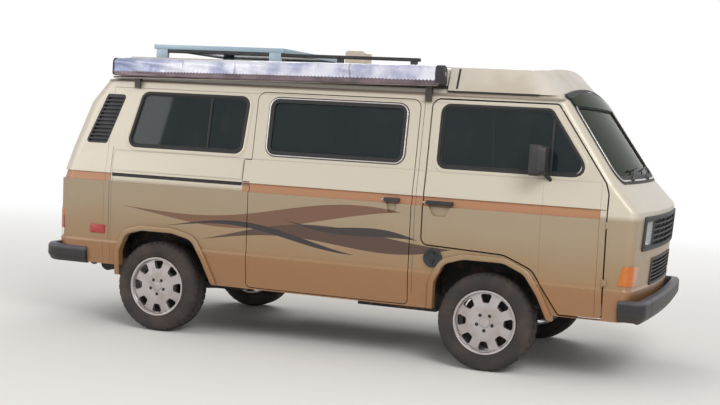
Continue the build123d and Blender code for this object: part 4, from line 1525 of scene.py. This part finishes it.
def makeCushion(name, size, crown, channels, place, angle, replaced, corner=cushionLook["corner"]):
    look = cushionLook
    bm = startBlock(size)
    bmesh.ops.bevel(bm, geom=bm.edges[:], affect="EDGES", offset=min(corner, min(size) * 0.42), segments=4,
                    profile=0.5, material=-1, clamp_overlap=True)
    for axis in (0, 1):
        half = size[axis] / 2
        sliceAcross(bm, spread(-half * 0.86, half * 0.86, 17), axis)
    sliceAcross(bm, (0.0,), 2)
    for vert in bm.verts:
        u, v, w = (2 * part / full for part, full in zip(vert.co, size))
        lift = crown * (1 - u * u) * (1 - v * v)
        groove = 0.0
        for channel in channels:
            groove += look["channelDepth"] * math.exp(-((vert.co.y - channel) / look["channelWidth"]) ** 2)
        draw = 1 - look["drawnIn"] * (1 - abs(w)) * (abs(u) * (1 - v * v) + abs(v) * (1 - u * u))
        vert.co.x *= draw
        vert.co.y *= draw
        if w > 0:
            vert.co.z += (lift - groove * (1 - abs(u) ** 6)) * min(w * 2, 1)
        else:
            vert.co.z -= lift * 0.15 * min(-w * 2, 1)
    turn(bm, angle, "Y")
    bmesh.ops.translate(bm, vec=place, verts=bm.verts)
    piece = finishPiece(name, bm, upholstery, "body", 180)
    addModifier(piece, "SUBSURF", levels=1, render_levels=1)
    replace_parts(piece, replaced)


def makeSeats():
    for name, side, *_ in bothSides:
        y = side * 0.42
        makeCushion("seatCushion" + name, (0.455, 0.46, 0.105), 0.016, (-0.1, 0.1), (1.492, y, 0.912), -2,
                    "cab_seats")
        makeCushion("seatBack" + name, (0.56, 0.445, 0.095), 0.018, (-0.1, 0.1), (1.262, y, 1.205), -80,
                    "cab_seats")
        makeCushion("headrest" + name, (0.13, 0.215, 0.05), 0.008, (), (1.19, y, 1.57), -86, "cab_seats",
                    0.02)
        for part, offset in (("A", -0.06), ("B", 0.06)):
            makeLathe(f"headrestRod{name}{part}", [(0, 0), (0.005, 0), (0.005, 0.075), (0, 0.075)],
                      (1.195, y + offset, 1.455), (-0.03, 0, 1), chrome, "body", 14)
    makeCushion("benchCushion", (0.52, 1.02, 0.125), 0.014, (-0.25, 0, 0.25), (-0.505, -0.26, 0.772), 0,
                "bench_cushions")
    makeCushion("benchBack", (0.46, 1.02, 0.08), 0.016, (-0.25, 0, 0.25), (-0.8, -0.26, 1.055), -78,
                "bench_cushions")
    makeCushion("mattress", (1.03, 0.99, 0.09), 0.006, (-0.24, 0.24), (-1.455, -0.24, 0.849), 0,
                "bench_cushions", 0.03)


# Steering wheel boss, gear lever, and the tailgate's grip with its lock
def makeControls():
    column = math.radians(28)
    makeLathe("steeringBoss", [(0, 0.024), (0.036, 0.02), (0.05, 0.008), (0.05, -0.006), (0, -0.006)],
              (1.745, 0.42, 1.12), (-math.cos(column), 0, math.sin(column)), dashPlastic, "body", 32)
    makeLathe("gearLever", [(0, 0.33), (0.018, 0.322), (0.024, 0.305), (0.019, 0.288), (0.007, 0.275),
                            (0.007, 0.06), (0.045, 0.01), (0.06, 0), (0, 0)],
              (1.7, 0, 0.561), (-0.12, 0, 1), blackPlastic, "body", 28)
    makeBar("tailgateGrip", (-0.07, 0.001, 0.955), (0.07, 0.02, 0.985), 0.006, blackPlastic, "rear_hatch",
            tail, (-0.035, 0.0, 0.035))
    makeLathe("tailgateLock", [(0, 0.022), (0.012, 0.021), (0.015, 0.016), (0.015, 0), (0, 0)],
              tail(0, 0, 0.925), (-1, 0, 0), brightTrim, "rear_hatch", 28)


cabinetLook = {
    "frontY": 0.3,
    "doors": ((-0.235, 0.065), (0.085, 0.375), (0.395, 0.68)),
    "lowZ": 0.475,
    "highZ": 1.085,
    "drawer": (0.02, 0.17),       # above the door
    "corner": 0.012,
    "catch": [(0, 0.012), (0.012, 0.011), (0.014, 0.007), (0.014, 0), (0, 0)],
}


def makeCabinetFronts():
    look = cabinetLook
    low, high, corner = look["lowZ"], look["highZ"], look["corner"]
    bottom, top = look["drawer"]

    def facingRight(across, stand, height):
        return Vector((across, look["frontY"] - stand, height))

    for index, (rear, front) in enumerate(look["doors"]):
        outline = box(rear, low, front, high)
        makePlate(f"cabinetDoor{index}", outline, corner, 0.0, 0.016, 0.003, facingRight, laminate)
        makeRing(f"cabinetEdge{index}", outline, corner, 0.0, -0.014, 0.014, 0.0185, 0.001, facingRight,
                 dashPlastic)
        makeLathe(f"cabinetCatch{index}", look["catch"], (front - 0.045, look["frontY"] - 0.016, high - 0.06),
                  (0, -1, 0), chrome, "body", 24)
        drawer = box(rear, high + bottom, front, high + top)
        makePlate(f"cabinetDrawer{index}", drawer, corner, 0.0, 0.016, 0.003, facingRight, laminate)


makeWindowFrames()
makeArchLips()
print("window frames ready")
makeWheels()
print("wheels ready")
makeHandles()
makeSideDetails()
makeHeadlamps()
makeGrilleFrames()
makeWipers()
makeMirrorGlass()
makeBumpers()
print("outer fittings ready")
makeLidSeal()
makeSolarPanel()
makeTray()
makeAwningBag()
makeAwningHem()
makeBellows()
print("roof fittings ready")
makeSeats()
makeControls()
makeCabinetFronts()
print("cab and living space ready")


# Studio: pale floor, soft light, camera at the photograph's angle
studio = {
    "floorColour": tone(236, 234, 230),
    "floorRadius": 60.0,
    "fadeStart": 3.2,
    "fadeEnd": 13.0,
    "worldLight": 0.56,
    "glossyLight": 0.85,
    "cameraPlace": (3.32, -8.869, 1.571),
    "cameraAzimuth": 20.72,      # degrees from +Y towards -X
    "cameraDrop": 3.486,         # degrees below the horizon
    "cameraRoll": 3.17,
    "cameraLens": 62.9,
}


def makeFloor():
    bm = bmesh.new()
    bmesh.ops.create_circle(bm, cap_ends=True, radius=studio["floorRadius"], segments=96)
    mesh = bpy.data.meshes.new("studioFloor")
    bm.to_mesh(mesh)
    bm.free()
    floor = bpy.data.objects.new("studioFloor", mesh)
    collection.objects.link(floor)
    material, place = startMaterial("studioFloor", roughness=0.9)
    feed(shaderOf(material).inputs["Base Color"], studio["floorColour"])
    tree = material.node_tree
    distance = Field(addNode(tree, "VectorMath", {0: place}, operation="LENGTH").outputs["Value"])
    seen = Field(addNode(tree, "LightPath", {}).outputs["Is Camera Ray"])
    away = fade(distance, studio["fadeStart"], studio["fadeEnd"]) * seen
    matt = Field(shaderOf(material).outputs[0])
    white = Field(addNode(tree, "Emission", {"Color": (1, 1, 1, 1), "Strength": 1.0}).outputs[0])
    blend = addNode(tree, "MixShader", {0: away, 1: matt, 2: white})
    feed(tree.nodes["Material Output"].inputs["Surface"], Field(blend.outputs[0]))
    mesh.materials.append(material)


def makeWorld():
    world = bpy.data.worlds.new("studioWorld")
    world.use_nodes = True
    bpy.context.scene.world = world
    back = world.node_tree.nodes["Background"]
    rays = addNode(world.node_tree, "LightPath", {}).outputs
    seen = calc("MAXIMUM", Field(rays["Is Camera Ray"]), Field(rays["Is Transmission Ray"]))
    seen = calc("MAXIMUM", seen, Field(rays["Is Glossy Ray"]) * studio["glossyLight"])
    feed(back.inputs["Strength"], seen * (1 - studio["worldLight"]) + studio["worldLight"])
    feed(back.inputs["Color"], (1, 1, 1, 1))


# Columns: name, place, aim, width, height, power
softLights = [
    ("keyLight", (6.0, -7.5, 6.5), (0.2, 0.0, 0.9), 5.0, 4.0, 520),
    ("fillLight", (-7.0, -6.0, 4.0), (0.0, 0.0, 0.9), 5.0, 3.5, 170),
    ("rimLight", (-2.0, 8.0, 6.0), (0.0, 0.0, 1.0), 6.0, 3.0, 230),
]


def makeLights():
    for name, place, aim, width, height, power in softLights:
        data = bpy.data.lights.new(name, "AREA")
        data.shape = "RECTANGLE"
        data.size = width
        data.size_y = height
        data.energy = power
        light = bpy.data.objects.new(name, data)
        light.location = place
        light.rotation_mode = "QUATERNION"
        light.rotation_quaternion = (Vector(aim) - Vector(place)).to_track_quat("-Z", "Y")
        collection.objects.link(light)


def makeCamera():
    azimuth = math.radians(studio["cameraAzimuth"])
    drop = math.radians(studio["cameraDrop"])
    roll = math.radians(studio["cameraRoll"])
    level = math.cos(drop)
    forward = Vector((-math.sin(azimuth) * level, math.cos(azimuth) * level, -math.sin(drop)))
    right = Vector((math.cos(azimuth), math.sin(azimuth), 0))
    up = right.cross(forward)
    across = right * math.cos(roll) + up * math.sin(roll)
    upward = up * math.cos(roll) - right * math.sin(roll)
    data = bpy.data.cameras.new("photoCamera")
    data.lens = studio["cameraLens"]
    data.sensor_width = 36
    camera = bpy.data.objects.new("photoCamera", data)
    axes = Matrix((across, upward, -forward)).transposed().to_4x4()
    camera.matrix_world = Matrix.Translation(studio["cameraPlace"]) @ axes
    collection.objects.link(camera)
    bpy.context.scene.camera = camera


makeFloor()
makeWorld()
makeLights()
makeCamera()
bpy.context.scene.view_settings.view_transform = "Standard"
print("studio ready")

bpy.context.view_layer.update()
